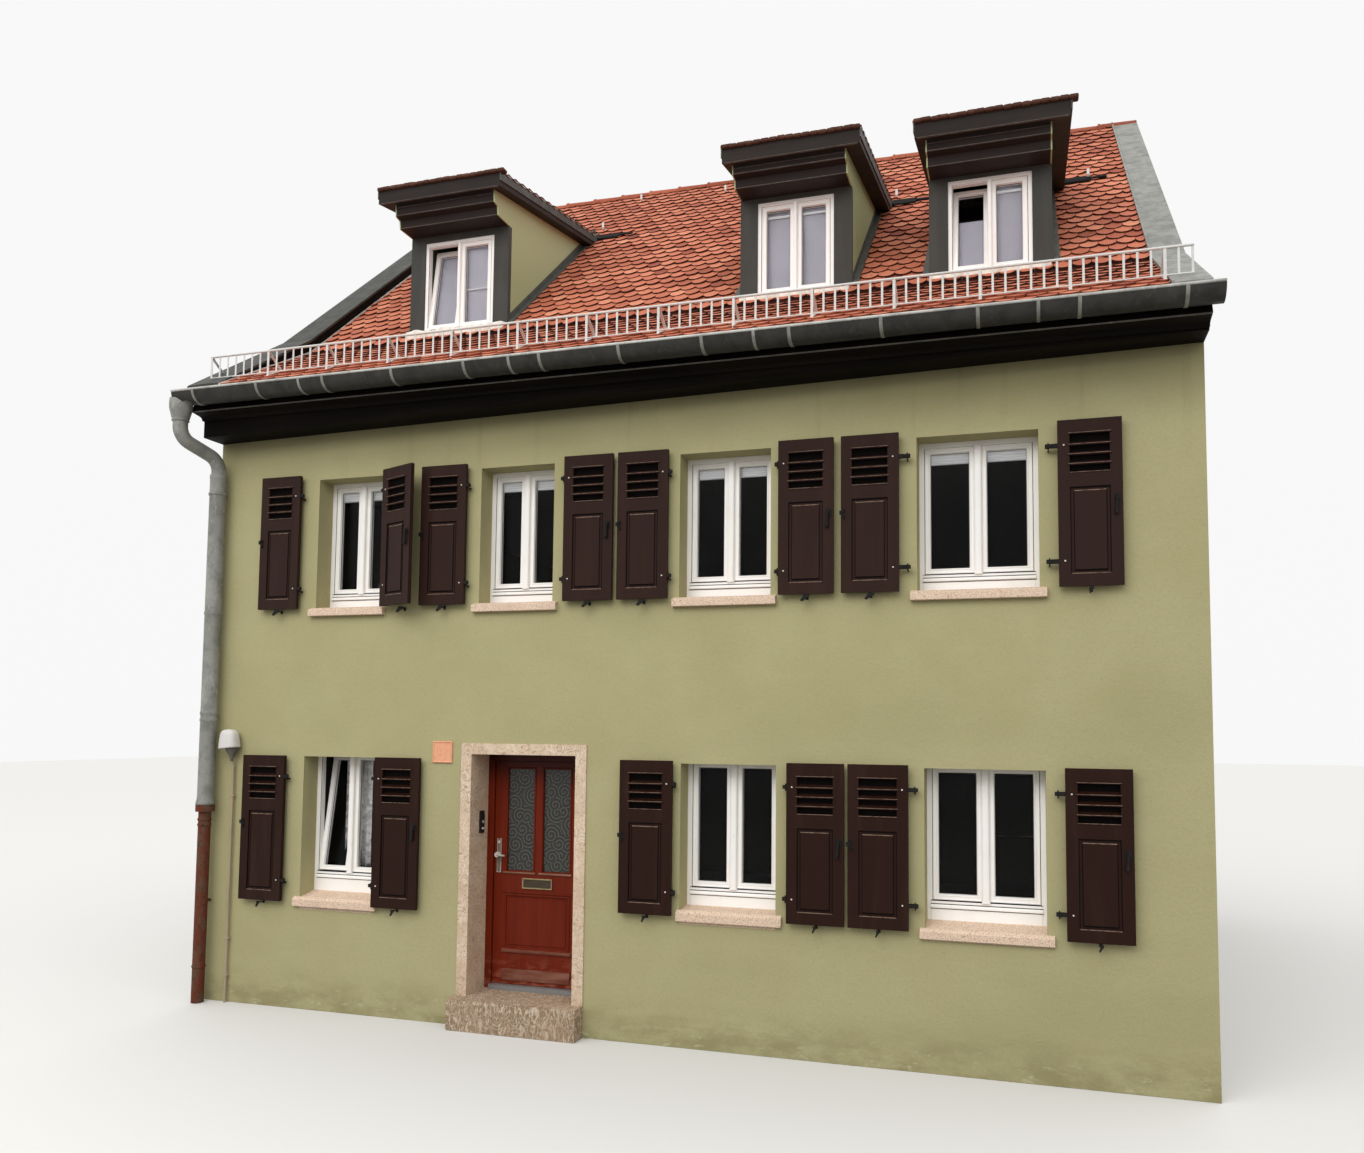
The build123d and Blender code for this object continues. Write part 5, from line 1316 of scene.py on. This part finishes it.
def all_windows():
    """Frames, gaskets, panes, sills and blinds of the windows to the street and in the dormers, and the
    dark blinds behind the garden windows, painted shade that keeps the rooms unlit."""
    for place, rows, frames, glass in (("street", STREET_WINDOWS, "front_windows", "front_window_glass"),
                                       ("dormer", DORMER_WINDOWS, "dormer_windows", "dormer_window_glass")):
        white, black, panes = [sum(parts, []) for parts in zip(*[casement(w) for w in rows])]
        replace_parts(make(f"{place}_window_frames", white, "white", slot="white_frame"), frames)
        make(f"{place}_window_seals", black, "gasket")
        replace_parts(make(f"{place}_window_panes", panes, "pane", slot="pane"), glass)
    sills = []
    for left, width, foot, thick, rise, ear in SILLS:
        reach = UPPER_REACH if foot > 2.0 else GROUND_REACH
        sills.append(prism([(-reach, foot + 0.004), (0.003 - reach, foot), (0.0, foot),
                            (0.0, foot + thick + 0.018), (0.004 - reach, foot + thick),
                            (-reach, foot + thick - 0.005)], left - ear, left + width + RIGHT_EAR))
        top = foot + thick + rise
        sills.append(prism([(0.002, foot - 0.030), (0.274, foot - 0.030), (0.274, top), (REVEAL, top),
                            (0.002, foot + thick + 0.009)], left, left + width))
    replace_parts(make("granite_sills", sills, "granite", slot="stone_sill"), "front_sills")
    stacks = []
    for w in STREET_WINDOWS[:4]:
        for x0, x1, z0, z1 in sash_fields(w):
            across, top = (x0 + 0.030, x1 - 0.030), z1 - SASH
            stacks += [block(across, (0.268, 0.290), (top - 0.062, top + 0.020), 0.003),
                       block(across, (0.264, 0.294), (top - 0.076, top - 0.060), 0.003)]
    bars = []
    y = DORMER_FRONT + DORMER_SETBACK + 0.062
    for number, w in enumerate(DORMER_WINDOWS):
        for side, (x0, x1, z0, z1) in enumerate(sash_fields(w)):
            top = z1 - SASH
            if number == 0 and side:
                z = top - 0.56 * (top - z0 - SASH)
                bars.append(block((x0 + 0.030, x1 - 0.030), (y, y + 0.008), (z, z + 0.014)))
            elif number == 1 or side:
                bars.append(block((x0 + 0.025, x1 - 0.025), (y, y + 0.012), (top - 0.055, top - 0.030)))
    make("pleated_blind_stacks", stacks, "blind")
    make("dormer_blind_bars", bars, "blind")
    garden = [(*place, UPPER_SILL, UPPER_HEAD) for place in UPPER]
    garden += [(*place, GARDEN_SILL, GROUND_HEAD) for place in GROUND]
    # Dark sheets behind the garden windows: painted shade that keeps the rooms unlit
    for number, (left, width, sill, head) in enumerate(garden):
        curtain(f"garden_blind_{number + 1}", left + 0.004, left + width - 0.004, sill + 0.004, head - 0.004,
                DEPTH - 0.290, "shade", fold=0.0)


def curtain(name, x0, x1, z0, z1, y, finish, fold=0.004, ragged=0.0, lean=0.0):
    """Hanging cloth as one sheet with a front and a back: the depth is a sine of the place across times
    the fold, fuller at the foot, and the foot is cut in scallops of the ragged height. With lean the
    sheet goes back with the height."""
    wide, tall = x1 - x0, z1 - z0
    columns, rows = (48, 14) if fold or ragged else (2, 2)
    u, v = np.meshgrid(np.linspace(0, 1, columns), np.linspace(0, 1, rows))
    x = x0 + u * wide
    foot = z0 + ragged * (np.abs(np.sin(u * pi * 4.5)) - 0.4 + 0.3 * np.sin(u * 29))
    z = foot + v * (z1 - foot)
    depth = y + fold * np.sin(u * wide * 2 * pi / 0.075) * (1.15 - 0.5 * v) + lean * (z - z0)
    points = np.concatenate([np.stack([x, depth + d, z], -1).reshape(-1, 3) for d in (0.0, 0.0012)])
    n = rows * columns
    quads = grid_quads(rows, columns)
    border = np.concatenate([np.arange(columns), np.arange(1, rows) * columns + columns - 1,
                             (rows - 1) * columns + np.arange(columns - 2, -1, -1),
                             np.arange(rows - 2, 0, -1) * columns])
    after = np.roll(border, -1)
    rim = np.stack([border, after, after + n, border + n], 1)
    faces = outward(points, [quads, quads[:, ::-1] + n, rim[:, ::-1]])
    piece = make(name, (points, faces), finish, smooth=bool(fold))


def curtains():
    """Lace in the open ground-floor window, and the cloths behind the dormer panes."""
    left, right = sash_fields(STREET_WINDOWS[4])
    foot, head = left[2], left[3] - 0.02
    curtain("lace_curtain", left[0] + 0.060, left[1] + 0.020, foot + 0.17, head, 0.520, "lace", 0.010, 0.03)
    curtain("lace_curtain_right", right[0] + 0.015, right[0] + 0.110, foot + 0.05, head, 0.330, "lace", 0.008)
    back = DORMER_FRONT + DORMER_SETBACK + SASH_BACK + SASH_DEPTH
    for number, w in enumerate(DORMER_WINDOWS):
        for side, (x0, x1, z0, z1) in zip(("left", "right"), sash_fields(w)):
            leaning = side == "left" and w.leaning
            top = z0 + 0.64 * (z1 - z0) if leaning and number == 2 else z1 - 0.030
            curtain(f"dormer_cloth_{number + 1}_{side}", x0 + 0.020, x1 - 0.020, z0 + 0.025, top,
                    back + (0.020 if leaning else 0.022), "roller", fold=0.0,
                    lean=tan(TILT) if leaning else 0.0)


def leaf_places():
    """Every shutter leaf: its name, edges, foot, head, pin and the side its pin is on."""
    for place, (left, right, width, foot, head) in SHUTTERS.items():
        off = (right - left - 2 * width - MEET) / 4
        yield f"{place}_left", left - width, left, foot, head, left + off, 1
        yield f"{place}_right", right, right + width, foot, head, right - off, -1


def hinge_eye(pin_x, z, way):
    """Iron eye round a pin: a closed hoop whose inner edge is a circle and whose outer edge is a
    rounded rectangle, the superellipse of the angle, longer on the side away from the leaf."""
    sides = 28
    a = np.arange(sides) * 2 * pi / sides
    c, s = np.cos(a), np.sin(a)
    outer = 0.0165 / (np.abs(c) ** 5 + np.abs(s) ** 5) ** 0.2
    outer = outer * np.where(c * way > 0, 1.45, 1.0)
    ring = [(0.0083, -0.013), (0.0083, 0.013), (outer - 0.001, 0.0145), (outer, 0.012), (outer, -0.012),
            (outer - 0.001, -0.0145)]
    points = np.stack([np.stack([pin_x + r * c, PIN_Y + np.minimum(r, 0.019) * s, np.full(sides, z + h)], -1)
                       for r, h in ring])
    return looped(points.reshape(-1, 3), len(ring), sides)


def louvre_lines(x0, x1, top):
    """Lips over the four slat openings and under the lowest one, pale strips on them that are painted
    highlight and dust, the slats' edges on the leaf's back and the dark board behind them, which is
    painted shade."""
    lips = [prism([(LEAF_BACK - 0.0035, z + 0.022), (LEAF_BACK - 0.0008, z - 0.010),
                   (LEAF_BACK - 0.0035, z - 0.014)], x0, x1) for z in top - LOUVRE_PITCH * np.arange(1, 4)]
    dust_and_highlight = []
    for k in range(4):
        z = top - k * LOUVRE_PITCH - (0.013 if k else 0.0)
        lips.append(prism([(LEAF_FRONT + 0.004, z + 0.007), (LEAF_FRONT - 0.010, z + 0.002),
                           (LEAF_FRONT - 0.011, z - 0.003), (LEAF_FRONT - 0.008, z - 0.006),
                           (LEAF_FRONT + 0.004, z - 0.006)], x0 - 0.010, x1 + 0.010))
        # Pale strip on each lip: painted highlight, with dust
        dust_and_highlight.append(block((x0 - 0.009, x1 + 0.009), (LEAF_FRONT - 0.0105, LEAF_FRONT - 0.004),
                          (z + 0.0005, z + 0.0045), 0.0005))
    low = top - 4 * LOUVRE_PITCH
    dust_and_highlight.append(block((x0, x1), (LEAF_FRONT - 0.0005, LEAF_FRONT + 0.010), (low - 0.003, low + 0.002),
                      0.0005))
    lips.append(prism([(LEAF_FRONT + 0.006, low + 0.004), (LEAF_FRONT - 0.003, low - 0.004),
                       (LEAF_FRONT - 0.003, low - 0.008), (LEAF_FRONT + 0.006, low - 0.008)],
                      x0 - 0.004, x1 + 0.004))
    # Near-black board behind the slats: painted shade of the gap
    board = block((x0 - 0.001, x1 + 0.001), (LEAF_BACK - 0.006, LEAF_BACK - 0.003), (top - 0.294, top))
    return lips, dust_and_highlight, board


def shutter_trim():
    """Louvre lips, painted shade behind the slats and along the panels, edge strips of painted highlight
    and dust, screw caps, hinge eyes and latches of the leaves, and the hold-backs on the wall. The leaf
    that stands ajar is turned about its pin."""
    holders = []
    for name, x0, x1, foot, head, pin, way in leaf_places():
        turn = -AJAR if name == "upper_1_right" else 0.0
        inner0, inner1 = x0 + STILE, x1 - STILE
        lips, edges, board = louvre_lines(inner0, inner1, head - LOUVRE_TOP)
        gloom, dust_and_highlight = panel_lines(inner0, inner1, foot + PANEL_FOOT, head - PANEL_HEAD)
        hinge, free = (x1, x0) if way > 0 else (x0, x1)
        heights = (foot + HINGE_INSET, head - HINGE_INSET)
        caps = [turned([0.0065, 0.0065, 0.0045, 0.001], [0.0, 0.002, 0.004, 0.0048],
                       (hinge - way * 0.045, LEAF_FRONT, z), 14, "street") for z in heights]
        iron = [hinge_eye(pin, z, way) for z in heights]
        reach = min(0.038, abs(pin - hinge) - 0.0085)
        arm = sorted((hinge - way * 0.006, hinge + way * reach))
        iron += [block(arm, (PIN_Y - 0.013, PIN_Y + 0.011), (z - 0.0165, z + 0.0165), 0.003) for z in heights]
        middle = head - CATCH_DROP
        iron += catch(free, middle) if way > 0 else hanging_handle(free - 0.042, middle)
        for title, shapes, finish, slot in (
                ("louvre_lips", lips, "shutter", "shutter_brown"),
                # The shade pieces are painted shade, the pale edge pieces painted highlight with dust
                ("louvre_shade", [board] + gloom, "painted_shade", "shutter_brown"),
                ("edge_highlights_and_dust", dust_and_highlight + edges, "highlight_and_dust", "shutter_brown"),
                ("screw_caps", caps, "cap", None), ("leaf_iron", iron, "iron", "iron")):
            make(f"{title}_{name}", [swung(s, pin, turn) for s in shapes], finish, f"shutter_{name}", slot)
        holders += hold_back((x0 + x1) / 2, foot)
    make("shutter_hold_backs", holders, "iron", slot="iron")


def panel_lines(x0, x1, z0, z1):
    """Edges of a raised panel as the light draws them, painted: dark strips of shade under what hangs
    over, and bright strips of highlight on what faces up."""
    y0, y1 = LEAF_FRONT - 0.0012, LEAF_FRONT + 0.004
    i = PANEL_INSET

    def strip(a, b, c, d, low=0.0):
        return block((a, b), (y0 + low, y1 + low), (c, d), 0.0006)

    dark = [strip(x0, x1, z1 - 0.008, z1 + 0.001), strip(x0, x0 + 0.005, z0, z1),
            strip(x1 - 0.005, x1, z0, z1), strip(x0 + i, x1 - i, z0 + i - 0.004, z0 + i + 0.006, 0.001),
            strip(x0 + i, x0 + i + 0.0035, z0 + i, z1 - i, 0.001),
            strip(x1 - i - 0.0035, x1 - i, z0 + i, z1 - i, 0.001)]
    bright = [strip(x0 + 0.004, x1 - 0.004, z0 - 0.001, z0 + 0.005),
              strip(x0 + i + 0.004, x1 - i - 0.004, z1 - i - 0.007, z1 - i, 0.001)]
    return dark, bright


def catch(edge, z):
    """Small iron catch over a leaf's free edge: a plate, a tongue that reaches past the edge, the
    plate's return on the edge and two knobs."""
    plates = [block((edge + 0.001, edge + 0.034), (LEAF_FRONT - 0.006, LEAF_FRONT), (z - 0.026, z + 0.030)),
              block((edge - 0.010, edge + 0.014), (LEAF_FRONT - 0.013, LEAF_FRONT - 0.0055),
                    (z - 0.016, z + 0.018)),
              block((edge - 0.0025, edge + 0.001), (LEAF_FRONT - 0.002, LEAF_BACK - 0.006),
                    (z - 0.020, z + 0.020))]
    knobs = (([0.010, 0.012, 0.010, 0.003], (edge + 0.020, LEAF_FRONT - 0.005, z + 0.012)),
             ([0.009, 0.011, 0.009, 0.003], (edge + 0.025, LEAF_FRONT - 0.002, z - 0.038)))
    return plates + [turned(radii, [0.0, 0.008, 0.014, 0.018], at, 14, "street") for radii, at in knobs]


def hanging_handle(x, z):
    """Iron plate with a pivot and a handle that hangs from it, swelling towards its lower end."""
    path = [(x, LEAF_FRONT - 0.016, z + 0.012), (x - 0.002, LEAF_FRONT - 0.019, z - 0.015),
            (x - 0.004, LEAF_FRONT - 0.017, z - 0.050), (x - 0.007, LEAF_FRONT - 0.016, z - 0.085),
            (x - 0.009, LEAF_FRONT - 0.019, z - 0.104), (x - 0.010, LEAF_FRONT - 0.022, z - 0.112)]
    return [block((x - 0.016, x + 0.022), (LEAF_FRONT - 0.005, LEAF_FRONT), (z - 0.026, z + 0.040)),
            block((x + 0.010, x + 0.026), (LEAF_FRONT - 0.009, LEAF_FRONT - 0.002), (z - 0.012, z + 0.012)),
            turned([0.015, 0.015, 0.011, 0.003], [0.0, 0.016, 0.022, 0.025],
                   (x, LEAF_FRONT - 0.004, z + 0.012), 16, "street"),
            swept(path, [0.009, 0.010, 0.010, 0.012, 0.014, 0.008], (1, 0, 0), 12)]


def hold_back(x, foot):
    """Turn-button under an open leaf: a pin out of the wall with a weighted tongue across its end. The
    tongue is shorter under the ground leaves and under the last upper pair."""
    z = foot - 0.020
    s = 0.45 if foot < 2.0 or x > 2.0 else 1.0
    pin = swept([(x, 0.0, z), (x, -0.040, z), (x, -0.086, z)], 0.0055, (0, 0, 1), 10)
    tongue = prism([(x - 0.040 * s, z - 0.034), (x - 0.024 * s, z - 0.042), (x + 0.006 * s, z - 0.020),
                    (x + 0.034 * s, z - 0.004), (x + 0.038 * s, z + 0.008), (x + 0.020 * s, z + 0.014),
                    (x - 0.010, z + 0.013), (x - 0.020 * s, z - 0.010)], -0.094, -0.078, axis=1)
    return [pin, tongue, block((x - 0.012, x + 0.012), (-0.006, 0.0), (z - 0.020, z + 0.014))]


def on_door(name, shapes, finish, slot="door_wood", smooth=False):
    """A piece that swings with the front door."""
    make(name, shapes, finish, "front_door", slot, smooth)


def door_trim():
    """Pane beads, weathered ledges, kick board, letter plate, lock rose and handle of the front door."""
    x0, x1, z0, z1 = DOOR_PANEL
    face = LEAF_FACE
    beads, ledges = [], []
    for left, right in DOOR_PANES:
        beads.append(mitred(left, right, PANE_FOOT, PANE_HEAD, [
            (-0.016, face + 0.001), (-0.014, face - 0.007), (-0.006, face - 0.009), (0.001, face - 0.004),
            (0.005, PANE_FACE - 0.001), (0.001, PANE_FACE + 0.002)]))
        ledges.append(prism([(face + 0.001, PANE_FOOT - 0.004), (face - 0.012, PANE_FOOT - 0.008),
                             (face - 0.014, PANE_FOOT - 0.013), (face - 0.012, PANE_FOOT - 0.021),
                             (face + 0.001, PANE_FOOT - 0.024)], left - 0.030, right + 0.022))
    beads.append(mitred(x0, x1, z0, z1, [
        (-0.014, face + 0.001), (-0.012, face - 0.006), (-0.004, face - 0.008), (0.003, face - 0.003),
        (0.006, face + 0.007), (0.002, face + 0.009)]))
    beads.append(block((x0 - 0.035, x1 + 0.030), (face - 0.010, face), (1.102, 1.116), 0.004))
    on_door("door_foot_ledge", prism([(face + 0.001, z0 - 0.004), (face - 0.014, z0 - 0.014),
                                      (face - 0.017, z0 - 0.022), (face - 0.015, z0 - 0.036),
                                      (face + 0.001, z0 - 0.040)], x0 - 0.030, x1 + 0.030), "kick")
    on_door("door_mouldings", beads, "door")
    on_door("door_ledges", ledges, "ledge")
    on_door("door_kick_board", block((x0 - 0.022, x1 + 0.022), (face - 0.0115, face - 0.001),
                                     (0.336, 0.438), 0.003), "kick")
    middle, half = (LEAF_LEFT + LEAF_RIGHT) / 2, LETTER_HALF
    bars = [block((middle - half, middle + half), (face - 0.015, face - 0.004), (z, z + 0.012), 0.003)
            for z in (1.147, 1.230)]
    ends = [block((a, a + 0.008), (face - 0.013, face - 0.004), (1.150, 1.240))
            for a in (middle - half, middle + half - 0.008)]
    on_door("letter_plate_bars", bars + ends, "brass", "brass")
    on_door("letter_flap", block((middle - 0.134, middle + 0.134), (face - 0.0115, face - 0.006),
                                 (1.160, 1.229)), "flap", "brass")
    x, plate = LOCK_X, face - 0.008
    rose = turned([0.014, 0.016, 0.013, 0.011, 0.004], [0.0, 0.004, 0.009, 0.011, 0.012],
                  (x, plate, LOCK_Z), 20, "street")
    collar = turned([0.020, 0.023, 0.020, 0.014], [0.0, 0.003, 0.008, 0.010], (x, plate, KNOB_Z),
                    facing="street")
    lever = swept([(x, plate - 0.036, KNOB_Z), (x + 0.010, plate - 0.050, KNOB_Z),
                   (x + 0.045, plate - 0.055, KNOB_Z - 0.002), (x + 0.085, plate - 0.053, KNOB_Z - 0.006)],
                  [0.011, 0.011, 0.010, 0.008], (0, 0, 1), 14)
    on_door("door_lock_rose", [rose, collar, lever], "chrome", "brass", smooth=True)
    lock = prism(pill(x - 0.015, x + 0.015, 1.285, 1.580), plate - 0.004, plate + 0.001, axis=1)
    on_door("door_lock_plate", lock, "lock", "brass")


def pill(x0, x1, z0, z1):
    """Upright plate with round ends: two half circles joined by straight sides."""
    r = (x1 - x0) / 2
    a = np.linspace(0, pi, 11)
    top = np.stack([(x0 + x1) / 2 + r * np.cos(a), z1 - r + r * np.sin(a)], 1)
    return np.concatenate([top, top * [-1, -1] + [x0 + x1, z0 + z1]])


def entrance_trim():
    """Bell panel's button, lens and blank label strip, and the bare fired plaque with its rim."""
    def on_bell(radii, heights, z):
        points, faces = turned(radii, heights, (0, 0, 0), 20)
        return points[:, [2, 1, 0]] * [1, -1, 1] + [BELL_X, BELL_Y, z], faces

    make("bell_button", on_bell([0.014, 0.014, 0.011, 0.003], [0.0, 0.003, 0.005, 0.006], BUTTON_Z), "chrome")
    make("bell_lens", on_bell([0.017, 0.016, 0.010, 0.002], [0.0, 0.002, 0.005, 0.006], LENS_Z), "gasket",
         smooth=True)
    make("bell_label", block((BELL_X - 0.001, BELL_X + 0.0025), (0.160, 0.196), (1.672, 1.688)), "white")
    x0, x1, z0, z1 = PLAQUE
    make("house_plaque", block((x0, x1), (-0.010, 0.0), (z0, z1), 0.003), "plaque")
    rim = [(0.0, 0.0), (0.0, -0.012), (0.004, -0.016), (0.011, -0.015), (0.015, -0.009), (0.014, -0.005)]
    make("house_plaque_rim", mitred(x0 - 0.002, x1 + 0.002, z0 - 0.002, z1 + 0.002, rim), "plaque")


def seen_rays(tree):
    """1 for the rays of the camera, of mirrors and of glass, 0 for those that only carry light."""
    rays = tree.nodes.new("ShaderNodeLightPath")
    total = rays.outputs["Is Camera Ray"]
    for kind in ("Is Glossy Ray", "Is Transmission Ray"):
        step = tree.nodes.new("ShaderNodeMath")
        step.operation, step.use_clamp = "ADD", True
        tree.links.new(total, step.inputs[0])
        tree.links.new(rays.outputs[kind], step.inputs[1])
        total = step.outputs[0]
    return total


def floor():
    """Matt floor: seen it is as pale as the backdrop, for light it is a duller grey."""
    finish = bpy.data.materials.new("studio_floor")
    finish.use_nodes = True
    tree = finish.node_tree
    shader = tree.nodes["Principled BSDF"]
    shader.inputs["Roughness"].default_value = 0.9
    pale = tree.nodes.new("ShaderNodeMix")
    pale.data_type = "RGBA"
    pale.inputs["A"].default_value = paint(120, 118, 114)
    pale.inputs["B"].default_value = paint(214, 213, 210)
    tree.links.new(seen_rays(tree), pale.inputs["Factor"])
    tree.links.new(pale.outputs["Result"], shader.inputs["Base Color"])
    data = bpy.data.meshes.new("studio_floor")
    data.from_pydata([(-60, -30, -0.002), (60, -30, -0.002), (60, 90, -0.002), (-60, 90, -0.002)], [],
                     [(0, 1, 2, 3)])
    data.materials.append(finish)
    ground = bpy.data.objects.new("studio_floor", data)
    bpy.context.scene.collection.objects.link(ground)


def sky():
    """Soft sky, bright above and dim below the horizon, for light, and an even pale backdrop for the
    rays that are seen."""
    world = bpy.data.worlds.new("studio_sky")
    bpy.context.scene.world = world
    world.use_nodes = True
    tree = world.node_tree
    tree.nodes.clear()
    output = tree.nodes.new("ShaderNodeOutputWorld")
    direction = tree.nodes.new("ShaderNodeTexCoord")
    split = tree.nodes.new("ShaderNodeSeparateXYZ")
    tree.links.new(direction.outputs["Generated"], split.inputs[0])

    def shade(stops):
        """Background whose grey runs through the stops from straight down at 0 to straight up at 1."""
        ramp = tree.nodes.new("ShaderNodeValToRGB")
        colours = [(place, (grey, grey, grey, 1)) for place, grey in stops]
        for element, stop in zip(ramp.color_ramp.elements, (colours[0], colours[-1])):
            element.position, element.color = stop
        for place, colour in colours[1:-1]:
            ramp.color_ramp.elements.new(place).color = colour
        half = tree.nodes.new("ShaderNodeMath")
        half.operation = "MULTIPLY_ADD"
        tree.links.new(split.outputs[2], half.inputs[0])
        half.inputs[1].default_value = half.inputs[2].default_value = 0.5
        tree.links.new(half.outputs[0], ramp.inputs[0])
        made = tree.nodes.new("ShaderNodeBackground")
        tree.links.new(ramp.outputs[0], made.inputs[0])
        return made

    light = shade([(0.0, 0.12), (0.49, 0.16), (0.52, 0.72), (1.0, 1.0)])
    light.inputs["Strength"].default_value = SKY_STRENGTH
    backdrop = shade([(0.0, 0.93), (1.0, 0.95)])
    mixed = tree.nodes.new("ShaderNodeMixShader")
    tree.links.new(seen_rays(tree), mixed.inputs[0])
    tree.links.new(light.outputs[0], mixed.inputs[1])
    tree.links.new(backdrop.outputs[0], mixed.inputs[2])
    tree.links.new(mixed.outputs[0], output.inputs[0])


def lamp():
    """One broad lamp high over the street, which mirrors don't show."""
    light = bpy.data.lights.new("soft_box", "AREA")
    light.shape, light.energy = "RECTANGLE", LAMP_POWER
    light.size, light.size_y = LAMP_SIZE
    box = bpy.data.objects.new("soft_box", light)
    bpy.context.scene.collection.objects.link(box)
    box.matrix_world = (Matrix.Translation(LAMP_PLACE) @ Matrix.Rotation(radians(LAMP_TURN), 4, "Z")
                        @ Matrix.Rotation(radians(LAMP_TIP), 4, "X"))
    box.visible_glossy = False


def camera():
    """Camera at the photograph's viewpoint, turned about the upright, risen and rolled."""
    view = bpy.data.cameras.new("street_camera")
    view.sensor_width, view.lens = 36.0, CAMERA_LENS
    view.shift_x, view.shift_y = CAMERA_SHIFT
    eye = bpy.data.objects.new("street_camera", view)
    bpy.context.scene.collection.objects.link(eye)
    eye.matrix_world = (Matrix.Translation(CAMERA_PLACE) @ Matrix.Rotation(radians(CAMERA_TURN), 4, "Z")
                        @ Matrix.Rotation(radians(90 + CAMERA_RISE), 4, "X")
                        @ Matrix.Rotation(radians(CAMERA_ROLL), 4, "Z"))
    bpy.context.scene.camera = eye
    bpy.context.scene.view_settings.view_transform = "Standard"


dress()
floor()
sky()
lamp()
camera()
roof_covering()
ridge_caps()
verges()
dormer_trim()
roof_hooks()
gutter_trim()
snow_guard()
downpipe()
vent_hood()
all_windows()
curtains()
shutter_trim()
door_trim()
entrance_trim()
